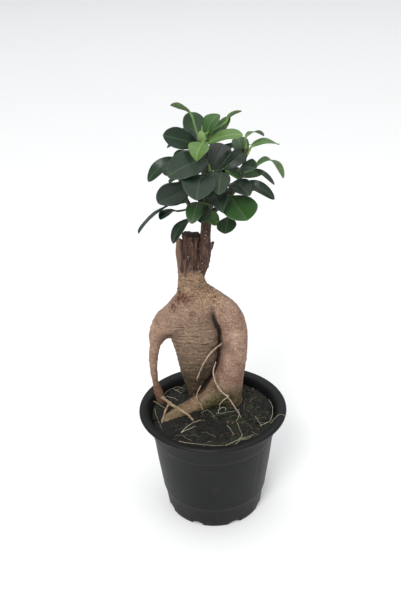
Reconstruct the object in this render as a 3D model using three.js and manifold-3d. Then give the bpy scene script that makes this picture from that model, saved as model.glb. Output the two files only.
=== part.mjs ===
// A ginseng ficus in its black nursery pot.
// Millimetres, +Z up, front towards -Y. The origin is the centre of the pot's foot.

import * as THREE from 'three';
import { mergeVertices } from 'three/addons/utils/BufferGeometryUtils.js';
import Module from 'manifold-3d';

const wasm = await Module();
wasm.setup();

// Driving dimensions of the pot.
const RIM_RADIUS = 63.5;
const POT_HEIGHT = 99;
const FOOT_RADIUS = 42;
const FOOT_WIDTH = 2.6;
const WALL = 1.6;
const FLOOR_UNDERSIDE = 4;
const FLOOR_TOP = 5.8;
const LOWER_RIDGE = { z: 21, radius: 45.9, step: 0.8 };
const UPPER_RIDGE = { z: 76, step: 0.7 };
const NECK_BELOW_LIP = { z: 92, radius: 54.9 };
const LIP_UNDERSIDE = 95.2;
const LIP_INNER_RADIUS = 55;
const DRAIN_COUNT = 8;
const DRAIN_RADIUS = 3.6;
const DRAIN_CIRCLE = 33;
const ARCH_WIDTH = 11;
const ARCH_HEIGHT = 2.8;
const POT_SIDES = 36;

// Driving dimensions of the soil and of the gap kept between neighbours.
const GAP = 0.35;
const SOIL_GAP = 0.8;
const SOIL_EDGE = 90;
const SOIL_MOUND = 2;
const SOIL_CLOD = 0.7;

// The trunk's polygon size and how softly its limbs run together.
const TRUNK_CELL = 5.7;
const CHEST_BLEND = 8;
const LEG_BLEND = 4;
const CREASE_BLEND = 2;

const rad = THREE.MathUtils.degToRad;

const finishes = {
  pot: { color: 0x2b2c2d, roughness: 0.55 },
  soil: { color: 0x1f1a16, roughness: 0.95 },
  trunk: { color: 0xb09a86, roughness: 0.8 },
  stem: { color: 0x6a4a3c, roughness: 0.75 },
  leaf: { color: 0x2f4a2c, roughness: 0.35 },
  young: { color: 0x86a95c, roughness: 0.4 },
};

// Closed meshes in and out of the solid library.

function solidOf(geometry) {
  const bare = geometry.index ? geometry.clone() : geometry;
  bare.deleteAttribute('normal');
  bare.deleteAttribute('uv');
  const merged = mergeVertices(bare, 1e-4);
  return new wasm.Manifold(new wasm.Mesh({
    numProp: 3,
    vertProperties: new Float32Array(merged.attributes.position.array),
    triVerts: new Uint32Array(merged.index.array),
  }));
}

function geometryOf(solid) {
  const mesh = solid.getMesh();
  const geometry = new THREE.BufferGeometry();
  geometry.setAttribute('position', new THREE.BufferAttribute(mesh.vertProperties, 3));
  geometry.setIndex(new THREE.BufferAttribute(mesh.triVerts, 1));
  geometry.computeVertexNormals();
  return geometry;
}

function geometryFrom(positions, triangles) {
  const geometry = new THREE.BufferGeometry();
  geometry.setAttribute('position', new THREE.Float32BufferAttribute(positions, 3));
  geometry.setIndex(triangles);
  return geometry;
}

// Joins closed pieces into one body, without the specks that crossing blades can leave.
function joined(solids) {
  const whole = solids.reduce((sum, piece) => sum.add(piece));
  return largest(whole);
}

function largest(solid) {
  return solid.decompose().reduce((best, piece) => (piece.volume() > best.volume() ? piece : best));
}

// Seeded draws, so that the plant grows the same way every time.
function seededDraws(seed) {
  let state = seed;
  return (low, high) => {
    state = (state * 1664525 + 1013904223) % 4294967296;
    return low + (high - low) * (state / 4294967296);
  };
}

// A closed limb of round sections along a smooth curve. Each point is [x, y, z, radius].
function limb(points, sides, steps, grow = 0) {
  const curve = new THREE.CatmullRomCurve3(points.map((p) => new THREE.Vector3(p[0], p[1], p[2])));
  const frames = curve.computeFrenetFrames(steps, false);
  const positions = [];
  const triangles = [];
  for (let i = 0; i <= steps; i += 1) {
    const along = (i / steps) * (points.length - 1);
    const before = Math.min(Math.floor(along), points.length - 2);
    const radius = THREE.MathUtils.lerp(points[before][3], points[before + 1][3], along - before) + grow;
    const centre = curve.getPoint(i / steps);
    for (let j = 0; j < sides; j += 1) {
      const turn = (j / sides) * 2 * Math.PI;
      const edge = centre.clone()
        .addScaledVector(frames.normals[i], radius * Math.cos(turn))
        .addScaledVector(frames.binormals[i], radius * Math.sin(turn));
      positions.push(edge.x, edge.y, edge.z);
    }
  }
  for (let i = 0; i < steps; i += 1) {
    for (let j = 0; j < sides; j += 1) {
      const a = i * sides + j;
      const b = i * sides + ((j + 1) % sides);
      triangles.push(a, b, b + sides, a, b + sides, a + sides);
    }
  }
  for (let j = 1; j < sides - 1; j += 1) {
    const last = steps * sides;
    triangles.push(0, j + 1, j, last, last + j, last + j + 1);
  }
  return solidOf(geometryFrom(positions, triangles));
}

// The pot: a tapered wall with two ridges, a flared lip, a drained floor and an arched foot.
// A profile is a closed ring of [radius, height] points.

function turned(profile) {
  const closed = [...profile, profile[0]].map((p) => new THREE.Vector2(p[0], p[1]));
  return solidOf(new THREE.LatheGeometry(closed, POT_SIDES).rotateX(Math.PI / 2));
}

function wallRadius(z) {
  const low = LOWER_RIDGE;
  const top = NECK_BELOW_LIP;
  if (z < low.z) {
    return THREE.MathUtils.mapLinear(z, 0, low.z, FOOT_RADIUS, low.radius - low.step);
  }
  return THREE.MathUtils.mapLinear(z, low.z, top.z, low.radius, top.radius);
}

function potSolid() {
  const inner = (z) => wallRadius(z) - WALL;
  const low = LOWER_RIDGE;
  const high = UPPER_RIDGE;
  const wall = turned([
    [FOOT_RADIUS - FOOT_WIDTH, 0],
    [FOOT_RADIUS, 0],
    [low.radius - low.step, low.z - 1],
    [low.radius, low.z + 0.5],
    [wallRadius(high.z) - high.step, high.z - 1],
    [wallRadius(high.z) + high.step / 2, high.z + 0.5],
    [NECK_BELOW_LIP.radius, NECK_BELOW_LIP.z],
    [NECK_BELOW_LIP.radius + 1.7, LIP_UNDERSIDE - 0.8],
    [RIM_RADIUS - 1.2, LIP_UNDERSIDE],
    [RIM_RADIUS, LIP_UNDERSIDE + 1.2],
    [RIM_RADIUS - 0.4, POT_HEIGHT - 0.8],
    [RIM_RADIUS - 2.2, POT_HEIGHT],
    [LIP_INNER_RADIUS + 1.6, POT_HEIGHT - 0.8],
    [LIP_INNER_RADIUS, POT_HEIGHT - 2.2],
    [inner(SOIL_EDGE), SOIL_EDGE],
    [inner(low.z), low.z],
    [inner(FLOOR_TOP) - 0.4, FLOOR_TOP],
    [0, FLOOR_TOP],
    [0, FLOOR_UNDERSIDE],
    [FOOT_RADIUS - FOOT_WIDTH, FLOOR_UNDERSIDE],
  ]);
  const cuts = [];
  for (let i = 0; i < DRAIN_COUNT; i += 1) {
    const turn = (i + 0.5) * (2 * Math.PI / DRAIN_COUNT);
    const hole = new THREE.CylinderGeometry(DRAIN_RADIUS, DRAIN_RADIUS, 6, 8).rotateX(Math.PI / 2);
    hole.translate(DRAIN_CIRCLE, 0, FLOOR_UNDERSIDE + 1);
    cuts.push(solidOf(hole.rotateZ(turn)));
    const arch = new THREE.CylinderGeometry(ARCH_WIDTH / 2, ARCH_WIDTH / 2, 14, 10).rotateZ(Math.PI / 2);
    arch.scale(1, 1, ARCH_HEIGHT / (ARCH_WIDTH / 2)).translate(FOOT_RADIUS, 0, 0);
    cuts.push(solidOf(arch.rotateZ(turn)));
  }
  return cuts.reduce((whole, cut) => whole.subtract(cut), wall);
}

// The soil fills the pot to just under the lip, with a low mound and clods on its top.

function soilHeight(x, y) {
  const out = Math.hypot(x, y) / RIM_RADIUS;
  const mound = SOIL_MOUND * (1 - out * out);
  const clods = Math.sin(x * 0.31 + 1) * Math.cos(y * 0.27) + 0.7 * Math.sin(x * 0.17 - y * 0.41 + 2);
  return SOIL_EDGE + mound + SOIL_CLOD * clods;
}

function soilBlock() {
  const sides = 32;
  const rings = 6;
  const sideHeights = [LOWER_RIDGE.z, FLOOR_TOP + GAP];
  const positions = [0, 0, soilHeight(0, 0)];
  const triangles = [];
  const edge = wallRadius(SOIL_EDGE) - WALL - GAP;
  const pushRing = (radius, heightAt) => {
    for (let j = 0; j < sides; j += 1) {
      const turn = (j / sides) * 2 * Math.PI;
      const x = radius * Math.cos(turn);
      const y = radius * Math.sin(turn);
      positions.push(x, y, heightAt(x, y));
    }
  };
  for (let i = 1; i <= rings; i += 1) {
    pushRing(edge * (i / rings), soilHeight);
  }
  sideHeights.forEach((z) => pushRing(wallRadius(z) - WALL - GAP - 0.4, () => z));
  for (let j = 0; j < sides; j += 1) {
    triangles.push(0, 1 + j, 1 + ((j + 1) % sides));
  }
  const last = rings + sideHeights.length;
  for (let i = 1; i < last; i += 1) {
    for (let j = 0; j < sides; j += 1) {
      const a = 1 + (i - 1) * sides + j;
      const b = 1 + (i - 1) * sides + ((j + 1) % sides);
      triangles.push(a, a + sides, b + sides, a, b + sides, b);
    }
  }
  const centre = positions.length / 3;
  positions.push(0, 0, FLOOR_TOP + GAP);
  for (let j = 0; j < sides; j += 1) {
    const a = 1 + (last - 1) * sides + j;
    const b = 1 + (last - 1) * sides + ((j + 1) % sides);
    triangles.push(a, centre, b);
  }
  return solidOf(geometryFrom(positions, triangles));
}

function soilSolid() {
  return largest(soilBlock().subtract(trunkSolid(SOIL_GAP)));
}

// The swollen root trunk. Each limb is a chain of [x, y, z, radius] balls.
// The web is the wood that closes the fold between the body and the right limb from behind.

const trunkLimbs = {
  neck: [
    [-14, 12, 236, 8.2], [-14.6, 12, 226, 9.8], [-14.3, 12, 212, 11],
    [-13.2, 12.5, 201, 13.2], [-12.4, 13, 190, 16],
  ],
  chestLeft: [
    [-19, 14, 186, 12.5], [-20.5, 15, 170, 13.2], [-20, 17, 155, 12.4], [-18.4, 20, 138, 11.2],
    [-16.4, 24, 120, 10.2], [-14, 28, 104, 8.6], [-12, 30, 90, 7], [-11, 31, 74, 4],
  ],
  chestRight: [
    [-6, 13, 188, 12.5], [-4.6, 13.5, 170, 13.6], [-4.6, 16, 155, 13.2], [-4.6, 19, 138, 12.6],
    [-6, 23, 122, 11.4], [-9, 28, 104, 8.8], [-10.6, 30, 90, 7], [-10, 31, 76, 4],
  ],
  leftArm: [
    [-14, 13, 188, 11], [-25, 13, 183, 11.2], [-36, 13, 175.5, 11.2], [-43.2, 13.5, 165, 8.4],
    [-46.2, 13.8, 157, 4.8],
  ],
};
const legLimbs = {
  rightArm: [
    [-7, 13, 199, 10.5], [3, 13, 191, 11], [13, 13.5, 181, 12], [18.6, 14, 169, 11.5],
    [20.2, 14, 157, 10.9], [20.2, 14, 143, 10.5], [18, 14, 130, 11.3], [15.6, 14, 116, 11.9],
    [16, 15, 102, 10.6], [18, 17, 88, 9], [19, 18, 74, 5],
  ],
  leg: [
    [14, 15.5, 112, 11], [8.5, 16, 101, 9.6], [-4, 13, 95.6, 7.8], [-14, 9.2, 93.8, 6.9],
  ],
  web: [[7, 19, 152, 5], [5, 20.5, 130, 6.5], [1, 21.5, 110, 7], [-3, 21, 97, 6], [-5, 21, 84, 4]],
};

// The slimmer ends of the limbs, and the cut stub with the strip of old wood beside it.
const forearm = [
  [-45.4, 13.6, 162, 6], [-47.6, 14, 151, 4.7], [-49.4, 15, 140, 3.8], [-50, 16, 127, 3.1],
  [-49.2, 17, 113, 3], [-47.4, 17.5, 103, 3.6], [-46.2, 17.2, 97, 3.9], [-45.4, 17, 89, 2.8],
  [-45, 17, 78, 1.6],
];
const legEnd = [
  [-9, 11, 94.4, 5.4], [-18, 7.4, 92.8, 6.7], [-30, 0.6, 90.8, 6], [-41, -7, 88, 4.6], [-46, -10, 84, 2.8],
];

const mainStub = [[-13.6, 12, 220, 9.6], [-13.4, 12, 236, 8.2], [-13, 12, 262, 7.6]];
const sideStub = [[-20, 13, 210, 4], [-21.6, 12.6, 226, 4], [-22.8, 12, 238, 3.6], [-23.2, 12, 248, 2.6]];

// Roots that run in the open before they dive into the soil.
const openRoots = {
  stick: [
    [-46.5, 17.5, 99, 2.2], [-39, 9, 97.4, 1.9], [-30, 0, 96, 1.7], [-21, -8, 94.4, 1.4],
    [-15, -13, 89, 1],
  ],
  fork: [[-38, 7, 97, 1.2], [-41, -2, 95, 1.1], [-43.5, -12, 92, 1], [-45, -18, 87, 0.9]],
  hanging: [[10, 9, 150, 1.4], [-4, 2.5, 138, 1.2], [-11, 9, 123, 1.2], [-12, 16, 116, 1.4]],
  pale: [
    [8, 12, 141, 1.3], [3, 7, 130, 1.2], [2.5, 6.5, 117, 1.2], [8, 6.5, 105, 1.2],
    [16, 6, 95, 1.1], [23, 1, 87, 1],
  ],
};

function softMin(a, b, blend) {
  const mix = Math.max(blend - Math.abs(a - b), 0) / blend;
  return Math.min(a, b) - mix * mix * blend / 4;
}

function toSegment(x, y, z, a, b) {
  const dx = b[0] - a[0];
  const dy = b[1] - a[1];
  const dz = b[2] - a[2];
  const along = ((x - a[0]) * dx + (y - a[1]) * dy + (z - a[2]) * dz) / (dx * dx + dy * dy + dz * dz);
  const t = Math.min(Math.max(along, 0), 1);
  return Math.hypot(x - a[0] - t * dx, y - a[1] - t * dy, z - a[2] - t * dz) - (a[3] + t * (b[3] - a[3]));
}

// Each chain is rounded into a smooth curve before distances are taken to it.
function smoothChain(points, steps) {
  const curve = new THREE.CatmullRomCurve3(points.map((p) => new THREE.Vector3(p[0], p[1], p[2])));
  const radii = new THREE.CatmullRomCurve3(points.map((p) => new THREE.Vector3(p[3], 0, 0)));
  return Array.from({ length: steps + 1 }, (unused, i) => {
    const p = curve.getPoint(i / steps);
    return [p.x, p.y, p.z, radii.getPoint(i / steps).x];
  });
}

const smoothed = (limbs) => Object.values(limbs).map((points) => smoothChain(points, points.length * 2));
const bodyChains = smoothed(trunkLimbs);
const legChains = smoothed(legLimbs);

function toChains(chains, blend, x, y, z) {
  let whole = 1e3;
  for (const chain of chains) {
    let nearest = 1e3;
    for (let i = 0; i + 1 < chain.length; i += 1) {
      nearest = Math.min(nearest, toSegment(x, y, z, chain[i], chain[i + 1]));
    }
    whole = softMin(whole, nearest, blend);
  }
  return whole;
}

// The body runs together softly, and a crease stays where the thick right limb lies against it.
function trunkDistance(x, y, z) {
  const body = toChains(bodyChains, CHEST_BLEND, x, y, z);
  const legs = toChains(legChains, LEG_BLEND, x, y, z);
  return softMin(body, legs, CREASE_BLEND);
}

// A net of four-sided faces round every place where the distance changes sign.
function netOf(distance, low, high, cell) {
  const count = low.map((v, i) => Math.ceil((high[i] - v) / cell) + 1);
  const at = (i, j, k) => (k * count[1] + j) * count[0] + i;
  const place = (n, i) => low[n] + i * cell;
  const values = new Float64Array(count[0] * count[1] * count[2]);
  for (let k = 0; k < count[2]; k += 1) {
    for (let j = 0; j < count[1]; j += 1) {
      for (let i = 0; i < count[0]; i += 1) {
        values[at(i, j, k)] = distance(place(0, i), place(1, j), place(2, k));
      }
    }
  }
  const corners = [0, 1, 2, 3, 4, 5, 6, 7].map((n) => [n & 1, (n >> 1) & 1, (n >> 2) & 1]);
  const positions = [];
  const vertexOf = new Map();
  const cellVertex = (i, j, k) => {
    const key = at(i, j, k);
    if (vertexOf.has(key)) {
      return vertexOf.get(key);
    }
    const sum = new THREE.Vector3();
    let crossings = 0;
    corners.forEach((a, m) => {
      corners.slice(m + 1).forEach((b) => {
        const apart = Math.abs(a[0] - b[0]) + Math.abs(a[1] - b[1]) + Math.abs(a[2] - b[2]);
        const va = values[at(i + a[0], j + a[1], k + a[2])];
        const vb = values[at(i + b[0], j + b[1], k + b[2])];
        if (apart === 1 && (va < 0) !== (vb < 0)) {
          const t = va / (va - vb);
          sum.x += i + a[0] + t * (b[0] - a[0]);
          sum.y += j + a[1] + t * (b[1] - a[1]);
          sum.z += k + a[2] + t * (b[2] - a[2]);
          crossings += 1;
        }
      });
    });
    const p = sum.multiplyScalar(1 / crossings);
    positions.push(place(0, p.x), place(1, p.y), place(2, p.z));
    vertexOf.set(key, positions.length / 3 - 1);
    return positions.length / 3 - 1;
  };
  const triangles = [];
  const addFace = (ring, flipped) => {
    const [a, b, c, d] = flipped ? [...ring].reverse() : ring;
    triangles.push(a, b, c, a, c, d);
  };
  for (let k = 1; k + 1 < count[2]; k += 1) {
    for (let j = 1; j + 1 < count[1]; j += 1) {
      for (let i = 1; i + 1 < count[0]; i += 1) {
        const inside = values[at(i, j, k)] < 0;
        if (inside !== values[at(i + 1, j, k)] < 0) {
          addFace([cellVertex(i, j - 1, k - 1), cellVertex(i, j, k - 1),
            cellVertex(i, j, k), cellVertex(i, j - 1, k)], !inside);
        }
        if (inside !== values[at(i, j + 1, k)] < 0) {
          addFace([cellVertex(i - 1, j, k - 1), cellVertex(i - 1, j, k),
            cellVertex(i, j, k), cellVertex(i, j, k - 1)], !inside);
        }
        if (inside !== values[at(i, j, k + 1)] < 0) {
          addFace([cellVertex(i - 1, j - 1, k), cellVertex(i, j - 1, k),
            cellVertex(i, j, k), cellVertex(i - 1, j, k)], !inside);
        }
      }
    }
  }
  return { positions, triangles };
}

// Each net point slides along the slope of the distance until it lies on the skin.
function settle(positions, distance, skin) {
  const step = 0.05;
  for (let n = 0; n < positions.length; n += 3) {
    for (let round = 0; round < 3; round += 1) {
      const [x, y, z] = positions.slice(n, n + 3);
      const slope = new THREE.Vector3(
        distance(x + step, y, z) - distance(x - step, y, z),
        distance(x, y + step, z) - distance(x, y - step, z),
        distance(x, y, z + step) - distance(x, y, z - step),
      ).normalize();
      const move = THREE.MathUtils.clamp(skin - distance(x, y, z), -1.2, 1.2);
      positions[n] = x + slope.x * move;
      positions[n + 1] = y + slope.y * move;
      positions[n + 2] = z + slope.z * move;
    }
  }
}

// grow makes the same trunk a little fatter, to cut the soil and the graft clear of it.
function trunkSolid(grow = 0) {
  const net = netOf(trunkDistance, [-62, -22, 58], [40, 50, 256], TRUNK_CELL);
  settle(net.positions, trunkDistance, grow);
  const body = solidOf(geometryFrom(net.positions, net.triangles));
  const roots = Object.values(openRoots).map((points) => limb(points, 6, 8, grow));
  const sawn = limb(mainStub, 12, 4, grow).subtract(stubCut(grow));
  const ends = [limb(forearm, 9, 15, grow), limb(legEnd, 10, 8, grow), limb(sideStub, 8, 5, grow)];
  return joined([body, sawn, ...ends, ...roots]);
}

// The saw cut across the old top, sloping down to the back.
function stubCut(grow) {
  const saw = new THREE.BoxGeometry(30, 40, 20).translate(0, 0, 10 + grow);
  saw.rotateX(rad(-8)).rotateY(rad(6)).translate(-13, 12, 254);
  return solidOf(saw);
}

// The grafted stem, its spur, and the leafy shoots that branch from it.

const graftStem = [
  [-9, 11, 217, 4.5], [-5, 9.4, 230, 5.1], [-3.2, 8, 241, 5.2], [-2.8, 7, 251, 4.1], [-1.8, 6, 263, 3.9],
  [-0.5, 5, 280, 3.2], [-1.5, 3, 298, 2.4],
];
const graftSpur = [[-2, 8, 239, 2.4], [1.5, 7, 244, 1.8], [3.6, 6, 249, 1]];

const twigs = {
  top: [[-1.4, 3, 292, 2], [-2.4, 1, 308, 1.9], [-3, -1, 322, 1.7], [-3, -3, 331, 1.3]],
  left: [
    [-1, 5, 266, 1.9], [-10, 1, 276, 1.8], [-17, -2, 290, 1.6], [-20, -4, 304, 1.5],
    [-20, -4, 317, 1.2],
  ],
  right: [[0, 5, 272, 2.1], [12, 2, 283, 1.9], [22, 1, 296, 1.7], [27, 2, 310, 1.5], [29, 4, 324, 1.2]],
  front: [[-1, 4, 270, 1.9], [1, -4, 282, 1.7], [4, -9, 298, 1.5], [2, -9, 312, 1.2]],
  back: [[-1, 6, 268, 1.9], [2, 15, 281, 1.8], [1, 22, 296, 1.6], [-3, 24, 311, 1.2]],
};

// One leaf: where its blade starts, its heading round the stem, its pitch, and its size.
// tilt turns the upper side towards the front, droop bends the tip down, fold is the V.
const leaves = {
  top: [
    { base: [-5, 5, 329], heading: 102, pitch: 31, length: 29, width: 20, tilt: -31, droop: -2.5 },
    { base: [-7, 1, 329.5], heading: -152, pitch: 22, length: 29, width: 16, tilt: 58, droop: 0.5 },
    { base: [-6, 4, 329], heading: 140, pitch: 12, length: 25, width: 15, tilt: 30, droop: 2 },
    { base: [0, -8, 319.4], heading: -138, pitch: -1, length: 36, width: 23, tilt: 42, droop: 4 },
    { base: [1, 0, 308], heading: 64, pitch: 24, length: 34, width: 18, tilt: 50, droop: 2 },
    { base: [7, -3, 310], heading: 55, pitch: 22, length: 25, width: 9, tilt: 60, droop: 2 },
    { base: [-11, 8, 350.5], heading: 161, pitch: 21, length: 16, width: 9, tilt: -41, droop: 1 },
  ],
  left: [
    { base: [-21, -4, 320], heading: -159, pitch: -23, length: 27, width: 11, tilt: 41, droop: 5.5 },
    { base: [-11, -8, 302], heading: -149, pitch: -17, length: 31, width: 22, tilt: 28, droop: -0.5 },
    { base: [-27, -2, 285], heading: -135, pitch: -17, length: 38, width: 13, tilt: -36, droop: 2 },
    { base: [-23, 0, 278], heading: -133, pitch: 3, length: 19, width: 12, tilt: -10, droop: 2 },
    { base: [-13, -6, 274], heading: -127, pitch: -21, length: 26, width: 11, tilt: -9, droop: 3 },
    { base: [-17, -3, 326], heading: -128, pitch: -14, length: 11, width: 6, tilt: 45, droop: 0.5 },
    { base: [-13, 2, 308], heading: -172, pitch: 8, length: 20, width: 13, tilt: 40, droop: 3 },
  ],
  front: [
    { base: [-4, -15, 311], heading: -98, pitch: -8, length: 31, width: 25, tilt: 40, droop: 4 },
    { base: [10, -14, 312], heading: -96, pitch: -12, length: 25, width: 15, tilt: 45, droop: 3 },
    { base: [3, -12, 297], heading: -74, pitch: -12, length: 25, width: 19, tilt: 35, droop: 3 },
    { base: [-7, -12, 289], heading: -104, pitch: -14, length: 23, width: 13, tilt: 30, droop: 3 },
    { base: [8, -8, 270], heading: -148, pitch: 42, length: 16, width: 11, tilt: 45, droop: 1 },
    { base: [-2, -7, 284], heading: -100, pitch: -15, length: 21, width: 12, tilt: 21, droop: 0 },
  ],
  right: [
    { base: [16, -6, 291], heading: -67, pitch: -16, length: 31, width: 27, tilt: 25, droop: 0.5 },
    { base: [16, -2, 273], heading: -101, pitch: -13, length: 23, width: 15, tilt: -11, droop: -0.5 },
    { base: [27, 2, 315], heading: 97, pitch: 34, length: 25, width: 13, tilt: 40, droop: 2 },
    { base: [29, 8, 331], heading: 47, pitch: -1, length: 21, width: 8, tilt: -18, droop: 3 },
    { base: [33, 4, 325], heading: 33, pitch: -2, length: 26, width: 13, tilt: 5, droop: 2 },
    { base: [35, 0, 310], heading: 37, pitch: -12, length: 32, width: 11, tilt: 0, droop: 8 },
    { base: [14, -6, 310.5], heading: 43, pitch: -17, length: 39, width: 8, tilt: -113, droop: 2 },
    { base: [23, -4, 310], heading: -62, pitch: 22, length: 24, width: 14, tilt: 40, droop: 2 },
    { base: [26, -4, 300], heading: -22, pitch: -16, length: 26, width: 9, tilt: 48, droop: 6 },
    { base: [31, 0, 291], heading: 41, pitch: -16, length: 21, width: 8, tilt: -28, droop: 3 },
    { base: [17, -8, 301], heading: -63, pitch: 4, length: 26, width: 15, tilt: 35, droop: 3 },
    { base: [13, -2, 311], heading: 20, pitch: 34, length: 21, width: 12, tilt: 62, droop: 2 },
    { base: [36, 6, 307], heading: -27, pitch: -27, length: 18, width: 4, tilt: 55, droop: 5 },
  ],
  young: [
    { base: [1, 2, 335.5], heading: 26, pitch: 62, length: 17, width: 15, tilt: 8, droop: 2.5 },
    { base: [4, 4, 331.5], heading: 44, pitch: 34, length: 23, width: 10, tilt: 12, droop: -0.5 },
    { base: [1, -4, 331], heading: -3, pitch: 17, length: 26, width: 15, tilt: 16, droop: 2 },
    { base: [-2.5, -15.5, 335], heading: -126, pitch: -44, length: 14, width: 19, tilt: 5, droop: 2 },
    { base: [-2, -4, 331], heading: -128, pitch: 65, length: 10, width: 7, tilt: -13, droop: -2 },
    { base: [0, -1, 330], heading: 59, pitch: 38, length: 11, width: 4, tilt: 66, droop: -2.5 },
    { base: [15, 11, 342.5], heading: 31, pitch: 31, length: 14, width: 4, tilt: -60, droop: 2.5 },
  ],
};

const LEAF_STATIONS = 5;
const LEAF_THICK = 0.9;
const LEAF_FOLD = 0.22;
const LEAF_FULLNESS = 2.49;
const STALK_RADIUS = 1;
const STALK_SUNK = 3;

function leafAxes(leaf) {
  const heading = rad(leaf.heading);
  const pitch = rad(leaf.pitch);
  const along = new THREE.Vector3(
    Math.cos(pitch) * Math.cos(heading),
    Math.cos(pitch) * Math.sin(heading),
    Math.sin(pitch),
  );
  const up = new THREE.Vector3(0, -Math.sin(rad(leaf.tilt)), Math.cos(rad(leaf.tilt)));
  const face = up.addScaledVector(along, -up.dot(along)).normalize();
  const side = new THREE.Vector3().crossVectors(face, along);
  return { along, face, side };
}

// The midrib rises a little from the stalk and then bends down to the tip.
function midrib(leaf, t) {
  const { along, face } = leafAxes(leaf);
  return new THREE.Vector3(...leaf.base)
    .addScaledVector(along, leaf.length * t)
    .addScaledVector(face, leaf.droop * (4 * t * (1 - t) - t * t));
}

function halfWidth(t, width) {
  return STALK_RADIUS + (width / 2 - STALK_RADIUS) * LEAF_FULLNESS * t ** 0.9 * (1 - t) ** 0.5;
}

// A blade three points wide, folded along its midrib, the same on both faces.
function blade(leaf) {
  const { face, side } = leafAxes(leaf);
  const positions = [];
  const triangles = [];
  for (const layer of [1, -1]) {
    for (let i = 0; i <= LEAF_STATIONS; i += 1) {
      const t = 1 - (1 - i / LEAF_STATIONS) ** 1.5;
      const half = halfWidth(t, leaf.width);
      for (const across of [-1, 0, 1]) {
        const lift = LEAF_FOLD * half * Math.abs(across) + layer * LEAF_THICK / 2;
        const p = midrib(leaf, t).addScaledVector(side, half * across).addScaledVector(face, lift);
        positions.push(p.x, p.y, p.z);
      }
    }
  }
  const lower = 3 * (LEAF_STATIONS + 1);
  const quad = (a, b, c, d) => triangles.push(a, b, c, a, c, d);
  for (let i = 0; i < LEAF_STATIONS; i += 1) {
    for (let j = 0; j < 2; j += 1) {
      const a = i * 3 + j;
      quad(a, a + 3, a + 4, a + 1);
      quad(lower + a, lower + a + 1, lower + a + 4, lower + a + 3);
    }
    const left = i * 3;
    const right = i * 3 + 2;
    quad(left, lower + left, lower + left + 3, left + 3);
    quad(right, right + 3, lower + right + 3, lower + right);
  }
  const end = LEAF_STATIONS * 3;
  for (let j = 0; j < 2; j += 1) {
    quad(j, j + 1, lower + j + 1, lower + j);
    quad(end + j, lower + end + j, lower + end + j + 1, end + j + 1);
  }
  return solidOf(geometryFrom(positions, triangles));
}

// The stalk runs from inside the twig to a little way into the blade.
function stalk(leaf, twig) {
  const root = nearestOn(twig, new THREE.Vector3(...leaf.base));
  const into = midrib(leaf, STALK_SUNK / leaf.length);
  return limb([[root.x, root.y, root.z, STALK_RADIUS], [into.x, into.y, into.z, STALK_RADIUS * 0.8]], 4, 1);
}

function nearestOn(twig, point) {
  const curve = new THREE.CatmullRomCurve3(twig.map((p) => new THREE.Vector3(p[0], p[1], p[2])));
  const lower = point.clone().setZ(point.z - 4);
  return curve.getPoints(30).slice(0, 27).reduce((best, p) => (
    p.distanceTo(lower) < best.distanceTo(lower) ? p : best));
}

// Leaves on the side away from the front, spaced by the golden angle with small draws.
function backLeaves() {
  const draw = seededDraws(7);
  const grown = [];
  for (let i = 0; i < 13; i += 1) {
    const heading = 90 + 62 * Math.sin(i * 2.4) + draw(-8, 8);
    const height = 270 + i * 4.2;
    const reach = 5 + draw(0, 3);
    grown.push({
      base: [
        1 + reach * Math.cos(rad(heading)),
        Math.min(22, 12 + i) + reach * Math.sin(rad(heading)),
        height,
      ],
      heading,
      pitch: draw(-18, 16),
      length: draw(27, 35),
      width: draw(14, 19),
      tilt: draw(-25, -5),
      droop: draw(2, 5),
    });
  }
  return grown;
}

function shoot(name, list) {
  const twig = twigs[name];
  return joined([limb(twig, 6, 6), ...list.map(blade), ...list.map((leaf) => stalk(leaf, twig))]);
}

function youngTip() {
  const tip = [[-3, -3, 331.6, 1.3], [-3, -3, 338, 1.2]];
  const stalkEnd = [[-3, -3, 334.6], [-3, -3, 337]];
  const stalks = leaves.young.map((leaf) => stalk(leaf, stalkEnd));
  return joined([limb(tip, 6, 1), ...leaves.young.map(blade), ...stalks]);
}

function named(name, solid, finish) {
  const mesh = new THREE.Mesh(geometryOf(solid), new THREE.MeshStandardMaterial(finishes[finish]));
  mesh.name = name;
  return mesh;
}

const stemSolid = (grow) => joined([limb(graftStem, 10, 10, grow), limb(graftSpur, 6, 3, grow)]);
const fatTrunk = trunkSolid(GAP);
const fatStem = stemSolid(GAP);

const group = new THREE.Group();
group.add(named('pot', potSolid(), 'pot'));
group.add(named('soil', soilSolid(), 'soil'));
group.add(named('root_trunk', trunkSolid(), 'trunk'));
group.add(named('graft_stem', stemSolid(0).subtract(fatTrunk), 'stem'));
group.add(named('shoot_top', shoot('top', leaves.top).subtract(fatStem), 'leaf'));
group.add(named('shoot_left', shoot('left', leaves.left).subtract(fatStem), 'leaf'));
group.add(named('shoot_right', shoot('right', leaves.right).subtract(fatStem), 'leaf'));
group.add(named('shoot_front', shoot('front', leaves.front).subtract(fatStem), 'leaf'));
group.add(named('shoot_back', shoot('back', backLeaves()).subtract(fatStem), 'leaf'));
group.add(named('young_tip', youngTip(), 'young'));

export default group;
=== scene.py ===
# %% [markdown]
# # A ginseng ficus in its nursery pot
#
# This lesson dresses a plain solid model of a small grafted fig tree. The plant has a swollen
# root trunk with two "arms", a sawn stub, a grafted stem, glossy leaves, and damp soil in a thin
# black pot. The solid model gives the sizes. Here each piece gets its fine shape and its finish.

# %% Load the solid model that everything is fitted to
import math

import bpy
import numpy as np
from mathutils import Matrix, Vector, noise


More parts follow.
